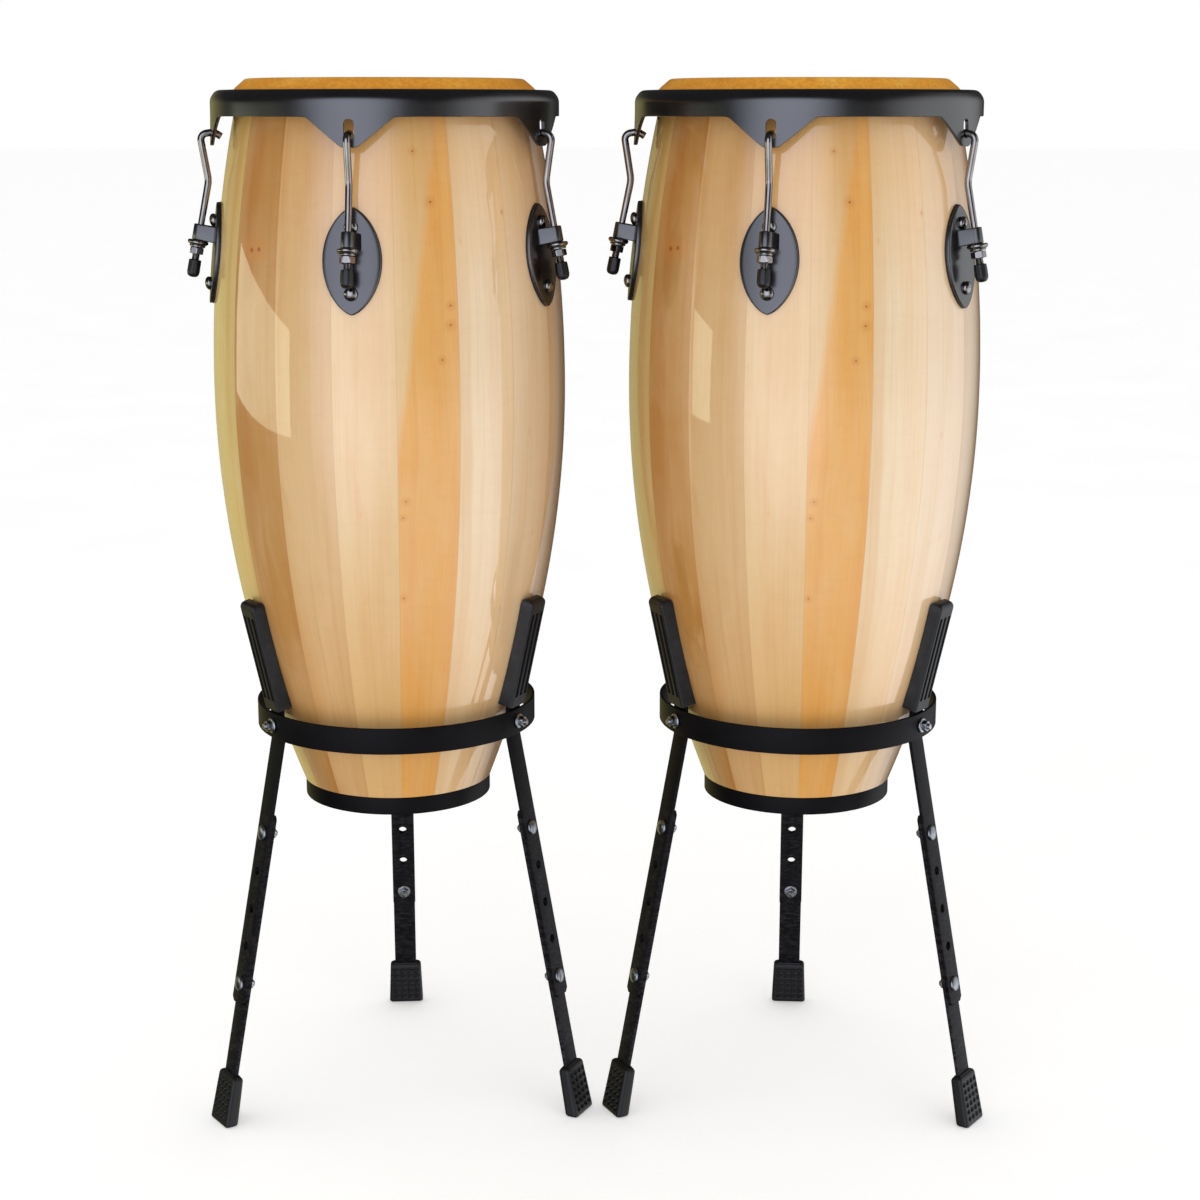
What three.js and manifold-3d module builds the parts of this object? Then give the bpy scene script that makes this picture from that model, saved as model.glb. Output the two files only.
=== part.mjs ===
// A pair of conga drums, each standing in its own three-legged basket stand.
// Millimetres, +Z up, the player's side faces -Y, and the feet stand on z = 0.
// Every repeated piece is drawn once, facing -Y, and then turned about its drum's axis.

import * as THREE from 'three';
import { mergeVertices } from 'three/addons/utils/BufferGeometryUtils.js';
import Module from 'manifold-3d';

const wasm = await Module();
wasm.setup();

// ---- Driving dimensions ----

const SPACING = 415; // between the two drums' axes
const DRUM_TURN = 5.1; // degrees that each drum is turned towards the player
const STAND_TURN = 4;
const GAP = 0.35; // left between touching pieces
const OVERLAP = 0.1; // shared by two shapes that are joined into one piece
const THROUGH = 10; // how far a cutter runs past what it cuts
const ROUND_SIDES = 32; // flats round a drum
const ROD_SIDES = 8; // flats round a rod, washer or hole

// Shell: two parabolic stretches that meet at the belly
const SHELL_FOOT_Z = 322;
const SHELL_STEP_Z = 338.6;
const SHELL_SHOULDER_Z = 1034;
const BELLY_Z = 745;
const BELLY_RADIUS = 175.3;
const SHOULDER_RADIUS = 142.4;
const STEP_RADIUS = 96.4;
const RABBET_RADIUS = 92.4;
const SHELL_WALL = 12;
const SHELL_TOP_Z = 1040.4;
const SHELL_CROWN = [138.2, 1038.3];
const BEARING_EDGE_WIDTH = 3;

// Head
const HEAD_TOP_Z = 1043;
const HEAD_FLAT_RADIUS = 134;
const HEAD_THICKNESS = 2;
const COLLAR_RADIUS = 150.2;
const COLLAR_Z = 1022;
const COLLAR_THICKNESS = 1.8;

// Rim and flesh ring
const FLESH_RING_RADIUS = 156;
const FLESH_RING_Z = 1023.9;
const FLESH_RING_BAR = 3.9; // radius of the ring's own section
const RIM_OUTER_RADIUS = 170.3;
const RIM_TOP_Z = 1032.3;
const RIM_EDGE_Z = 1007.2;
const RIM_PLATE = 3.5;
const TAB_HALF_WIDTH = 42;
const TAB_TIP_HALF_WIDTH = 7.5;
const TAB_TIP_Z = 979.3;
const TAB_SLOT_WIDTH = 10;
const TAB_SLOT_TOP_Z = 1005.5;
const TAB_SLOT_FOOT_Z = 986.8;
const TAB_STRAIGHT = 6; // how far down the band goes before it flares
const TAB_FLARE = 1.1;
const TAB_INSET = 0.15; // keeps the band inside the rim's faces where they join

// Tuning hardware
const LUG_COUNT = 5;
const FIRST_LUG_AZIMUTH = -11.4;
const LUG_PLATE_Z = 876.5;
const LUG_PLATE_HALF_HEIGHT = 49.5;
const LUG_PLATE_HALF_WIDTH = 27.5;
const LUG_PLATE_DEPTH = 4.5;
const EAR_RADIUS = 184.5; // from the drum's axis to the middle of the ear's hole
const EAR_Z = 896;
const ROD_LEAN = 11; // degrees; the threaded end leans outwards as it goes down
const ROD_RADIUS = 3.5;
const EAR_HOLE_RADIUS = 5.2;
const EAR_NOSE_RADIUS = 6.4;
const EAR_ROOT_HALF_WIDTH = 10.2;
const EAR_ROOT_DEPTH = 16;
const EAR_UP = 8.2; // distances along the rod from the middle of the ear
const EAR_DOWN = 7.2;
const WASHER_DOWN = 12;
const RING_DOWN = 14;
const NUT_DOWN = 21;
const CAP_START = 26.6;
const CAP_END = 43.6;
const CAP_TIP_LENGTH = 3;
const CAP_RADIUS = 6.2;
const CAP_TIP_RADIUS = 3.6;
const WASHER_RADIUS = 10;
const WASHER_TOP_RADIUS = 8.6;
const RING_RADIUS = 7.6;
const NUT_ACROSS_FLATS = 13;
const NUT_BORE_RADIUS = 4.8;
const LUG_SCREW_OFFSETS = [31.5, -29.5];
const SCREW_HEAD_REACH = 10; // from the shell's surface
const SCREW_HEAD_RADIUS = 7;
const SCREW_CROWN_RADIUS = 4;
const HOOK_CORNERS = [[160.5, 988], [167.5, 992.3], [180.9, 990], [174, 946]]; // [radius, height]
const HOOK_ROUNDINGS = [3.5, 7.5, 9];

// Bottom ring
const BOTTOM_RING_OUTER = 95.7;
const BOTTOM_RING_FOOT_Z = 320.5;

// Stand
const LEG_AZIMUTHS = [-60, 60, 180];
const STAND_RING_OUTER = 142.6;
const STAND_RING_INNER = 139.6;
const STAND_RING_FOOT_Z = 396.5;
const STAND_RING_TOP_Z = 422.5;
const BAR_WIDTH = 25;
const BAR_THICKNESS = 3.5;
const LEG_BAR_WIDTH = 24;
const ARM_RADIUS = 136.2; // where the arm lies flat inside the ring
const ARM_BEND_TOP_Z = 424;
const ARM_BEND_FOOT_Z = 394;
const ARM_TOP = [161.2, 532];
const LEG_LEAN = 11.2;
const ARM_LENGTH = 275; // along the leg, below the lower bend
const HOLE_START = 97;
const HOLE_PITCH = 39.4;
const HOLE_COUNT = 5;
const HOLE_RADIUS = 4.6;
const LEG_TOP = 77; // along the leg, where the sliding bar starts
const PAD_WIDTH = 29;
const PAD_LENGTH = 118; // above the arm's upper bend
const PAD_START = 2;
const PAD_WALL = 4.2; // rubber outside the bar
const PAD_REACH = 16; // far enough inwards to be trimmed by the shell
const PAD_CHAMFER = 4;
const PAD_GROOVE_PITCH = 9;
const PAD_GROOVE_WIDTH = 4;
const PAD_GROOVE_DEPTH = 1.6;
const PAD_GROOVE_START = 16;
const PAD_GROOVE_END = 106;
const BOOT_HEIGHT = 53;
const BOOT_TOP_WIDTH = 34.5;
const BOOT_SOLE_WIDTH = 38.5;
const BOOT_TOP_DEPTH = 12;
const BOOT_SOLE_DEPTH = 14.5;
const BOOT_CHAMFER = 4;
const BOLT_RADIUS = 3.3;
const BOLT_HOLE_RADIUS = 3.9;
const BOLT_END = 10; // beyond the ring
const BOLT_NUT_RADIUS = 6.2; // to its corners
const BOLT_NUT_HEIGHT = 5;
const FLANGE_RADIUS = 7.6;
const FLANGE_HEIGHT = 2;
const CARRIAGE_HEAD_RADIUS = 8;
const CARRIAGE_CROWN_RADIUS = 4.5;
const CARRIAGE_HEAD_HEIGHT = 4.2;
const RING_BOLT_HEAD_RADIUS = 6.5;
const RING_BOLT_HEAD_HEIGHT = 5;

// ---- Materials ----

function finish(colour, roughness, metalness) {
  return new THREE.MeshStandardMaterial({ color: colour, roughness, metalness });
}

const wood = finish(0xdcb785, 0.25, 0);
const skin = finish(0xc8862c, 0.5, 0);
const blackSteel = finish(0x1c1c20, 0.4, 0.3);
const chrome = finish(0xd5d3cf, 0.12, 1);
const rubber = finish(0x222124, 0.8, 0);

// ---- Solids and curves ----

const radians = THREE.MathUtils.degToRad;

// (radius, height, across) drawn in X, Y, Z becomes a slice through the drum's axis on the -Y side
const RADIAL_PLANE = new THREE.Matrix4().makeBasis(
  new THREE.Vector3(0, -1, 0),
  new THREE.Vector3(0, 0, 1),
  new THREE.Vector3(-1, 0, 0),
);

// (across, height, outwards) drawn in X, Y, Z becomes a view of the drum's -Y side
const FACING_PLANE = new THREE.Matrix4().makeBasis(
  new THREE.Vector3(1, 0, 0),
  new THREE.Vector3(0, 0, 1),
  new THREE.Vector3(0, -1, 0),
);

function solid(geometry) {
  const bare = geometry.clone();
  bare.deleteAttribute('normal');
  bare.deleteAttribute('uv');
  const merged = mergeVertices(bare, 1e-4);
  const corners = Array.from(merged.index.array);
  const kept = [];
  for (let i = 0; i < corners.length; i += 3) {
    const [a, b, c] = corners.slice(i, i + 3);
    if (a !== b && b !== c && a !== c) kept.push(a, b, c);
  }
  return new wasm.Manifold(new wasm.Mesh({
    numProp: 3,
    vertProperties: new Float32Array(merged.attributes.position.array),
    triVerts: new Uint32Array(kept),
  }));
}

function geometryOf(body) {
  const mesh = body.getMesh();
  const geometry = new THREE.BufferGeometry();
  geometry.setAttribute('position', new THREE.BufferAttribute(new Float32Array(mesh.vertProperties), 3));
  geometry.setIndex(Array.from(mesh.triVerts));
  geometry.computeVertexNormals();
  return geometry;
}

function signedArea(points) {
  return points.reduce((sum, [x, y], i) => {
    const [nextX, nextY] = points[(i + 1) % points.length];
    return sum + (x * nextY - nextX * y) / 2;
  }, 0);
}

// A closed [radius, height] outline turned about the drum's axis
function turned(outline, sides = ROUND_SIDES) {
  const ordered = signedArea(outline) < 0 ? [...outline].reverse() : outline;
  const points = [...ordered, ordered[0]].map(([radius, height]) => new THREE.Vector2(radius, height));
  return solid(new THREE.LatheGeometry(points, sides).rotateX(Math.PI / 2));
}

// An outline pushed out evenly on both sides of its plane
function slab(outline, thickness, plane) {
  const shape = new THREE.Shape(outline.map(([x, y]) => new THREE.Vector2(x, y)));
  const geometry = new THREE.ExtrudeGeometry(shape, { depth: thickness, bevelEnabled: false });
  geometry.translate(0, 0, -thickness / 2);
  return solid(geometry.applyMatrix4(plane));
}

function arc(centreX, centreY, radius, startDegrees, endDegrees, steps) {
  return Array.from({ length: steps + 1 }, (_, i) => {
    const angle = radians(startDegrees + ((endDegrees - startDegrees) * i) / steps);
    return [centreX + radius * Math.cos(angle), centreY + radius * Math.sin(angle)];
  });
}

// A round rod whose axis starts at (radius, height) and runs along a lean in the radial plane
function rodPiece(radius, height, leanDegrees, from, to, bottomRadius, topRadius, sides) {
  const geometry = new THREE.CylinderGeometry(topRadius, bottomRadius, to - from, sides);
  geometry.translate(0, -(from + to) / 2, 0);
  geometry.rotateZ(radians(leanDegrees));
  geometry.translate(radius, height, 0);
  return solid(geometry.applyMatrix4(RADIAL_PLANE));
}

// A round bolt, head or washer that points straight out from the drum's axis
function radialDisc(height, fromRadius, toRadius, discRadius, outerRadius = discRadius, sides = 6) {
  const geometry = new THREE.CylinderGeometry(outerRadius, discRadius, toRadius - fromRadius, sides);
  geometry.rotateX(Math.PI / 2);
  geometry.translate(0, 0, (fromRadius + toRadius) / 2);
  geometry.translate(0, height, 0);
  return solid(geometry.applyMatrix4(FACING_PLANE));
}

// ---- Shell, head and bottom ring ----

function shellRadius(z) {
  const upper = z > BELLY_Z;
  const endRadius = upper ? SHOULDER_RADIUS : STEP_RADIUS;
  const endZ = upper ? SHELL_SHOULDER_Z : SHELL_STEP_Z;
  const share = (z - BELLY_Z) / (endZ - BELLY_Z);
  return BELLY_RADIUS - (BELLY_RADIUS - endRadius) * share ** 2;
}

function shellSamples(fromZ, toZ, count, inset) {
  return Array.from({ length: count }, (_, i) => {
    const z = fromZ + ((toZ - fromZ) * i) / (count - 1);
    return [shellRadius(z) - inset, z];
  });
}

function shellGeometry() {
  return geometryOf(turned([
    [RABBET_RADIUS, SHELL_FOOT_Z],
    [RABBET_RADIUS, SHELL_STEP_Z],
    ...shellSamples(SHELL_STEP_Z, SHELL_SHOULDER_Z, 9, 0),
    SHELL_CROWN,
    [HEAD_FLAT_RADIUS, SHELL_TOP_Z],
    [HEAD_FLAT_RADIUS - BEARING_EDGE_WIDTH, SHELL_TOP_Z],
    ...shellSamples(SHELL_SHOULDER_Z, SHELL_FOOT_Z, 6, SHELL_WALL),
  ]));
}

// The shell's outside, grown by a clearance, for pieces that lie against it
function shellClearance(clearance) {
  const outset = (clearance + BELLY_RADIUS) / Math.cos(Math.PI / ROUND_SIDES) - BELLY_RADIUS;
  return turned([
    [0, SHELL_STEP_Z],
    ...shellSamples(SHELL_STEP_Z, SHELL_SHOULDER_Z, 13, -outset),
    [0, SHELL_SHOULDER_Z],
  ]);
}

function headGeometry() {
  return geometryOf(turned([
    [0, HEAD_TOP_Z],
    [0, HEAD_TOP_Z - HEAD_THICKNESS],
    [HEAD_FLAT_RADIUS - 0.5, HEAD_TOP_Z - HEAD_THICKNESS],
    [HEAD_FLAT_RADIUS + 3.5, HEAD_TOP_Z - 3.3],
    [COLLAR_RADIUS - 4.2, COLLAR_Z + 9.5],
    [COLLAR_RADIUS - COLLAR_THICKNESS, COLLAR_Z],
    [COLLAR_RADIUS, COLLAR_Z],
    [COLLAR_RADIUS - 2.6, COLLAR_Z + 10.3],
    [HEAD_FLAT_RADIUS + 4.5, HEAD_TOP_Z - 1.6],
    [HEAD_FLAT_RADIUS, HEAD_TOP_Z],
  ]));
}

function bottomRingGeometry() {
  const top = SHELL_STEP_Z - GAP;
  const inner = RABBET_RADIUS / Math.cos(Math.PI / ROUND_SIDES) + GAP;
  return geometryOf(turned([
    [inner, BOTTOM_RING_FOOT_Z],
    [BOTTOM_RING_OUTER, BOTTOM_RING_FOOT_Z],
    [BOTTOM_RING_OUTER, top],
    [inner, top],
  ]));
}

// ---- Rim, flesh ring and tuning hardware ----

function fleshRingGeometry() {
  return geometryOf(turned(arc(FLESH_RING_RADIUS, FLESH_RING_Z, FLESH_RING_BAR, 18, 306, 4)));
}

function rimProfile() {
  const wall = RIM_OUTER_RADIUS - RIM_PLATE;
  return [
    [152, RIM_TOP_Z - 3.8],
    [154, RIM_TOP_Z],
    [162, RIM_TOP_Z - 1.1],
    [167.6, RIM_TOP_Z - 5.8],
    [RIM_OUTER_RADIUS, RIM_TOP_Z - 13],
    [RIM_OUTER_RADIUS, RIM_EDGE_Z],
    [wall, RIM_EDGE_Z],
    [wall, RIM_TOP_Z - 14],
    [163.8, RIM_TOP_Z - 8.3],
    [159, RIM_TOP_Z - 4],
  ];
}

// The curved sheet that the V-shaped tabs are cut from; it flares a little at the tips
function tabBand() {
  const wall = RIM_OUTER_RADIUS - RIM_PLATE;
  return turned([
    [wall + TAB_INSET, RIM_EDGE_Z + TAB_STRAIGHT],
    [RIM_OUTER_RADIUS - TAB_INSET, RIM_EDGE_Z + TAB_STRAIGHT],
    [RIM_OUTER_RADIUS - TAB_INSET, RIM_EDGE_Z - TAB_STRAIGHT],
    [RIM_OUTER_RADIUS + TAB_FLARE, TAB_TIP_Z - 1],
    [wall + TAB_FLARE, TAB_TIP_Z - 1],
    [wall + TAB_INSET, RIM_EDGE_Z - TAB_STRAIGHT],
  ]);
}

// A plane in front of the drum that is centred on the rim's wall
function rimPlane() {
  return FACING_PLANE.clone().multiply(new THREE.Matrix4().makeTranslation(0, 0, RIM_OUTER_RADIUS));
}

function tabOutline() {
  return slab([
    [-TAB_HALF_WIDTH, RIM_EDGE_Z + 3],
    [-TAB_HALF_WIDTH, RIM_EDGE_Z],
    [-TAB_TIP_HALF_WIDTH, TAB_TIP_Z],
    [TAB_TIP_HALF_WIDTH, TAB_TIP_Z],
    [TAB_HALF_WIDTH, RIM_EDGE_Z],
    [TAB_HALF_WIDTH, RIM_EDGE_Z + 3],
  ], 4 * THROUGH, rimPlane());
}

function tabSlot() {
  const half = TAB_SLOT_WIDTH / 2;
  return slab([
    ...arc(0, TAB_SLOT_TOP_Z - half, half, 0, 180, 4),
    ...arc(0, TAB_SLOT_FOOT_Z + half, half, 180, 360, 4),
  ], 4 * THROUGH, rimPlane());
}

function lugAzimuth(index) {
  return FIRST_LUG_AZIMUTH + (360 / LUG_COUNT) * index;
}

function rimGeometry() {
  const tab = tabBand().intersect(tabOutline());
  const slot = tabSlot();
  let rim = turned(rimProfile());
  for (let i = 0; i < LUG_COUNT; i += 1) {
    rim = rim.add(tab.rotate([0, 0, lugAzimuth(i)]));
  }
  for (let i = 0; i < LUG_COUNT; i += 1) {
    rim = rim.subtract(slot.rotate([0, 0, lugAzimuth(i)]));
  }
  return geometryOf(rim);
}

function onRod(from, to, bottomRadius, topRadius = bottomRadius, sides = ROD_SIDES) {
  return rodPiece(EAR_RADIUS, EAR_Z, ROD_LEAN, from, to, bottomRadius, topRadius, sides);
}

// Pointed oval: two arcs that meet at the top and the bottom
function plateOutline() {
  const arcRadius = (LUG_PLATE_HALF_HEIGHT ** 2 + LUG_PLATE_HALF_WIDTH ** 2) / (2 * LUG_PLATE_HALF_WIDTH);
  const reach = THREE.MathUtils.radToDeg(Math.asin(LUG_PLATE_HALF_HEIGHT / arcRadius));
  const offset = arcRadius - LUG_PLATE_HALF_WIDTH;
  return [
    ...arc(-offset, LUG_PLATE_Z, arcRadius, -reach, reach, 6),
    ...arc(offset, LUG_PLATE_Z, arcRadius, 180 - reach, 180 + reach, 6).slice(1, -1),
  ];
}

// The ear is drawn square to the rod, as a wedge with a round nose about the hook's hole
function earBlock() {
  const shape = new THREE.Shape([
    [-EAR_ROOT_DEPTH, -EAR_ROOT_HALF_WIDTH],
    ...arc(0, 0, EAR_NOSE_RADIUS, -75, 75, 4),
    [-EAR_ROOT_DEPTH, EAR_ROOT_HALF_WIDTH],
  ].map(([x, y]) => new THREE.Vector2(x, y)));
  const geometry = new THREE.ExtrudeGeometry(shape, { depth: EAR_UP + EAR_DOWN, bevelEnabled: false });
  geometry.rotateX(-Math.PI / 2);
  geometry.translate(0, -EAR_DOWN, 0);
  geometry.rotateZ(radians(ROD_LEAN));
  geometry.translate(EAR_RADIUS, EAR_Z, 0);
  return solid(geometry.applyMatrix4(RADIAL_PLANE));
}

function lugGeometry() {
  const facing = FACING_PLANE.clone().multiply(new THREE.Matrix4().makeTranslation(0, 0, BELLY_RADIUS));
  const seat = shellClearance(GAP);
  let lug = slab(plateOutline(), 6 * THROUGH, facing).intersect(shellClearance(GAP + LUG_PLATE_DEPTH));
  lug = lug.add(earBlock());
  for (const offset of LUG_SCREW_OFFSETS) {
    const z = LUG_PLATE_Z + offset;
    const surface = shellRadius(z);
    const crown = surface + SCREW_HEAD_REACH;
    lug = lug.add(radialDisc(z, surface + GAP, crown, SCREW_HEAD_RADIUS, SCREW_CROWN_RADIUS));
  }
  lug = lug.add(onRod(EAR_DOWN - OVERLAP, WASHER_DOWN, WASHER_TOP_RADIUS, WASHER_RADIUS));
  lug = lug.add(onRod(WASHER_DOWN - OVERLAP, RING_DOWN, RING_RADIUS));
  const hole = onRod(-EAR_UP - THROUGH, RING_DOWN + THROUGH, EAR_HOLE_RADIUS);
  return geometryOf(lug.subtract(hole).subtract(seat));
}

function rodPoint(along) {
  return [
    EAR_RADIUS + along * Math.sin(radians(ROD_LEAN)),
    EAR_Z - along * Math.cos(radians(ROD_LEAN)),
  ];
}

// Straight stretches through the corners, with each corner rounded over the given length
function roundedPath(corners, roundings) {
  const points = corners.map(([x, y]) => new THREE.Vector3(x, y, 0));
  const path = new THREE.CurvePath();
  let start = points[0];
  for (let i = 1; i < points.length - 1; i += 1) {
    const corner = points[i];
    const [before, after] = [points[i - 1], points[i + 1]].map(
      (other) => corner.clone().lerp(other, roundings[i - 1] / corner.distanceTo(other)),
    );
    path.add(new THREE.LineCurve3(start, before));
    path.add(new THREE.QuadraticBezierCurve3(before, corner, after));
    start = after;
  }
  path.add(new THREE.LineCurve3(start, points[points.length - 1]));
  return path;
}

function hookGeometry() {
  const path = roundedPath([...HOOK_CORNERS, rodPoint(CAP_START + 2)], HOOK_ROUNDINGS);
  const section = new THREE.Shape(
    arc(0, 0, ROD_RADIUS, 0, 300, 5).map(([x, y]) => new THREE.Vector2(x, y)),
  );
  const rod = new THREE.ExtrudeGeometry(section, { steps: 16, extrudePath: path });
  const tip = CAP_END - CAP_TIP_LENGTH;
  const cap = onRod(CAP_START, tip, CAP_RADIUS).add(onRod(tip, CAP_END, CAP_TIP_RADIUS, CAP_RADIUS));
  return geometryOf(solid(rod.applyMatrix4(RADIAL_PLANE)).add(cap));
}

function nutGeometry() {
  const acrossCorners = NUT_ACROSS_FLATS / Math.cos(Math.PI / 6);
  const nut = onRod(RING_DOWN + GAP, NUT_DOWN, acrossCorners / 2, acrossCorners / 2, 6);
  return geometryOf(nut.subtract(onRod(RING_DOWN - THROUGH, NUT_DOWN + THROUGH, NUT_BORE_RADIUS)));
}

// ---- Stand ----

const legDown = new THREE.Vector2(Math.sin(radians(LEG_LEAN)), -Math.cos(radians(LEG_LEAN)));
const legOut = new THREE.Vector2(Math.cos(radians(LEG_LEAN)), Math.sin(radians(LEG_LEAN)));

// A point in the radial plane: along the leg from the lower bend, and out from the arm's middle
function legPoint(along, out) {
  return [
    ARM_RADIUS + along * legDown.x + out * legOut.x,
    ARM_BEND_FOOT_Z + along * legDown.y + out * legOut.y,
  ];
}

const padAxis = new THREE.Vector2(ARM_TOP[0] - ARM_RADIUS, ARM_TOP[1] - ARM_BEND_TOP_Z).normalize();

function padPoint(along, out) {
  return [
    ARM_RADIUS + along * padAxis.x + out * padAxis.y,
    ARM_BEND_TOP_Z + along * padAxis.y - out * padAxis.x,
  ];
}

function boltHeight() {
  return (STAND_RING_FOOT_Z + STAND_RING_TOP_Z) / 2;
}

function standRingGeometry() {
  let ring = turned([
    [STAND_RING_INNER, STAND_RING_FOOT_Z],
    [STAND_RING_OUTER, STAND_RING_FOOT_Z],
    [STAND_RING_OUTER, STAND_RING_TOP_Z],
    [STAND_RING_INNER, STAND_RING_TOP_Z],
  ]);
  const [inside, outside] = [STAND_RING_INNER - THROUGH, STAND_RING_OUTER + THROUGH];
  const hole = radialDisc(boltHeight(), inside, outside, BOLT_HOLE_RADIUS);
  for (const azimuth of LEG_AZIMUTHS) {
    ring = ring.subtract(hole.rotate([0, 0, azimuth]));
  }
  return geometryOf(ring);
}

// The bar's edge-on outline, widened on both faces by an allowance
function armOutline(allowance) {
  const half = BAR_THICKNESS / 2 + allowance;
  const padEnd = Math.hypot(ARM_TOP[0] - ARM_RADIUS, ARM_TOP[1] - ARM_BEND_TOP_Z) + allowance;
  return [
    legPoint(ARM_LENGTH, half),
    [ARM_RADIUS + half, ARM_BEND_FOOT_Z],
    [ARM_RADIUS + half, ARM_BEND_TOP_Z],
    padPoint(padEnd, half),
    padPoint(padEnd, -half),
    [ARM_RADIUS - half, ARM_BEND_TOP_Z],
    [ARM_RADIUS - half, ARM_BEND_FOOT_Z],
    legPoint(ARM_LENGTH, -half),
  ];
}

// A disc square to the leg, centred on a hole, from one depth through the bar to another
function legDisc(holeIndex, fromOut, toOut, radius, outerRadius = radius, sides = 6) {
  const geometry = new THREE.CylinderGeometry(outerRadius, radius, toOut - fromOut, sides);
  geometry.rotateY(Math.PI / sides);
  geometry.translate(0, (fromOut + toOut) / 2, 0);
  geometry.rotateZ(-Math.PI / 2 + radians(LEG_LEAN));
  const [x, y] = legPoint(HOLE_START + holeIndex * HOLE_PITCH, 0);
  geometry.translate(x, y, 0);
  return solid(geometry.applyMatrix4(RADIAL_PLANE));
}

function armGeometry() {
  const face = BAR_THICKNESS / 2;
  const bolt = boltHeight();
  let arm = slab(armOutline(0), BAR_WIDTH, RADIAL_PLANE);
  for (let i = 1; i < HOLE_COUNT - 1; i += 1) {
    arm = arm.subtract(legDisc(i, -THROUGH, THROUGH, HOLE_RADIUS));
  }
  for (const i of [0, HOLE_COUNT - 1]) {
    arm = arm.add(legDisc(i, 0, face + CARRIAGE_HEAD_HEIGHT, CARRIAGE_HEAD_RADIUS, CARRIAGE_CROWN_RADIUS));
  }
  const flange = STAND_RING_OUTER + FLANGE_HEIGHT;
  const headEnd = ARM_RADIUS - face - RING_BOLT_HEAD_HEIGHT;
  arm = arm.add(radialDisc(bolt, headEnd, ARM_RADIUS, RING_BOLT_HEAD_RADIUS));
  arm = arm.add(radialDisc(bolt, ARM_RADIUS, STAND_RING_OUTER + BOLT_END, BOLT_RADIUS));
  arm = arm.add(radialDisc(bolt, STAND_RING_OUTER + GAP, flange, FLANGE_RADIUS));
  arm = arm.add(radialDisc(bolt, flange - OVERLAP, flange + BOLT_NUT_HEIGHT, BOLT_NUT_RADIUS));
  return geometryOf(arm);
}

function padGeometry() {
  const outer = BAR_THICKNESS / 2 + PAD_WALL;
  let pad = slab([
    padPoint(PAD_START, outer),
    padPoint(PAD_LENGTH - PAD_CHAMFER, outer),
    padPoint(PAD_LENGTH, outer - PAD_CHAMFER),
    padPoint(PAD_LENGTH, -PAD_REACH),
    padPoint(PAD_START, -PAD_REACH),
  ], PAD_WIDTH, RADIAL_PLANE);
  const groove = slab([
    padPoint(PAD_GROOVE_START, outer - PAD_GROOVE_DEPTH),
    padPoint(PAD_GROOVE_START, outer + PAD_WALL),
    padPoint(PAD_GROOVE_END, outer + PAD_WALL),
    padPoint(PAD_GROOVE_END, outer - PAD_GROOVE_DEPTH),
  ], PAD_GROOVE_WIDTH, RADIAL_PLANE);
  for (const step of [-1, 0, 1]) {
    pad = pad.subtract(groove.translate([step * PAD_GROOVE_PITCH, 0, 0]));
  }
  const slot = slab(armOutline(GAP), BAR_WIDTH + 2 * GAP, RADIAL_PLANE);
  return geometryOf(pad.subtract(slot).subtract(shellClearance(GAP)));
}

// The boot: a wedge seen from the front, cut to a flat sole at z = 0
function boot(middleOut) {
  const soleAlong = ARM_BEND_FOOT_Z / Math.cos(radians(LEG_LEAN));
  const front = [
    [-BOOT_SOLE_WIDTH / 2, 0],
    [BOOT_SOLE_WIDTH / 2, 0],
    [BOOT_TOP_WIDTH / 2, BOOT_HEIGHT - BOOT_CHAMFER],
    [BOOT_TOP_WIDTH / 2 - BOOT_CHAMFER, BOOT_HEIGHT],
    [BOOT_CHAMFER - BOOT_TOP_WIDTH / 2, BOOT_HEIGHT],
    [-BOOT_TOP_WIDTH / 2, BOOT_HEIGHT - BOOT_CHAMFER],
  ];
  const [soleMiddle] = legPoint(soleAlong, middleOut);
  const top = soleAlong - BOOT_HEIGHT;
  const side = [
    [soleMiddle - BOOT_SOLE_DEPTH / 2, 0],
    [soleMiddle + BOOT_SOLE_DEPTH / 2, 0],
    legPoint(top, middleOut + BOOT_TOP_DEPTH / 2),
    legPoint(top, middleOut - BOOT_TOP_DEPTH / 2),
  ];
  const outwards = new THREE.Matrix4().makeTranslation(0, 0, soleMiddle);
  return slab(side, BOOT_SOLE_WIDTH + THROUGH, RADIAL_PLANE)
    .intersect(slab(front, 8 * THROUGH, FACING_PLANE.clone().multiply(outwards)));
}

function legGeometry() {
  const outerFace = -BAR_THICKNESS / 2 - GAP;
  const innerFace = outerFace - BAR_THICKNESS;
  const end = ARM_BEND_FOOT_Z / Math.cos(radians(LEG_LEAN)) - BOOT_HEIGHT / 2;
  const bar = [
    legPoint(LEG_TOP, outerFace),
    legPoint(end, outerFace),
    legPoint(end, innerFace),
    legPoint(LEG_TOP, innerFace),
  ];
  let leg = slab(bar, LEG_BAR_WIDTH, RADIAL_PLANE);
  for (let i = 1; i < HOLE_COUNT - 1; i += 1) {
    leg = leg.subtract(legDisc(i, -THROUGH, THROUGH, HOLE_RADIUS));
  }
  for (const i of [0, HOLE_COUNT - 1]) {
    leg = leg.add(legDisc(i, innerFace - BOLT_NUT_HEIGHT, innerFace + OVERLAP, BOLT_NUT_RADIUS));
  }
  return geometryOf(leg.add(boot((outerFace + innerFace) / 2)));
}

// ---- Assembly ----

function placed(name, geometry, material, azimuth = 0) {
  const mesh = new THREE.Mesh(geometry, material);
  mesh.name = name;
  mesh.rotation.z = radians(azimuth);
  return mesh;
}

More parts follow.
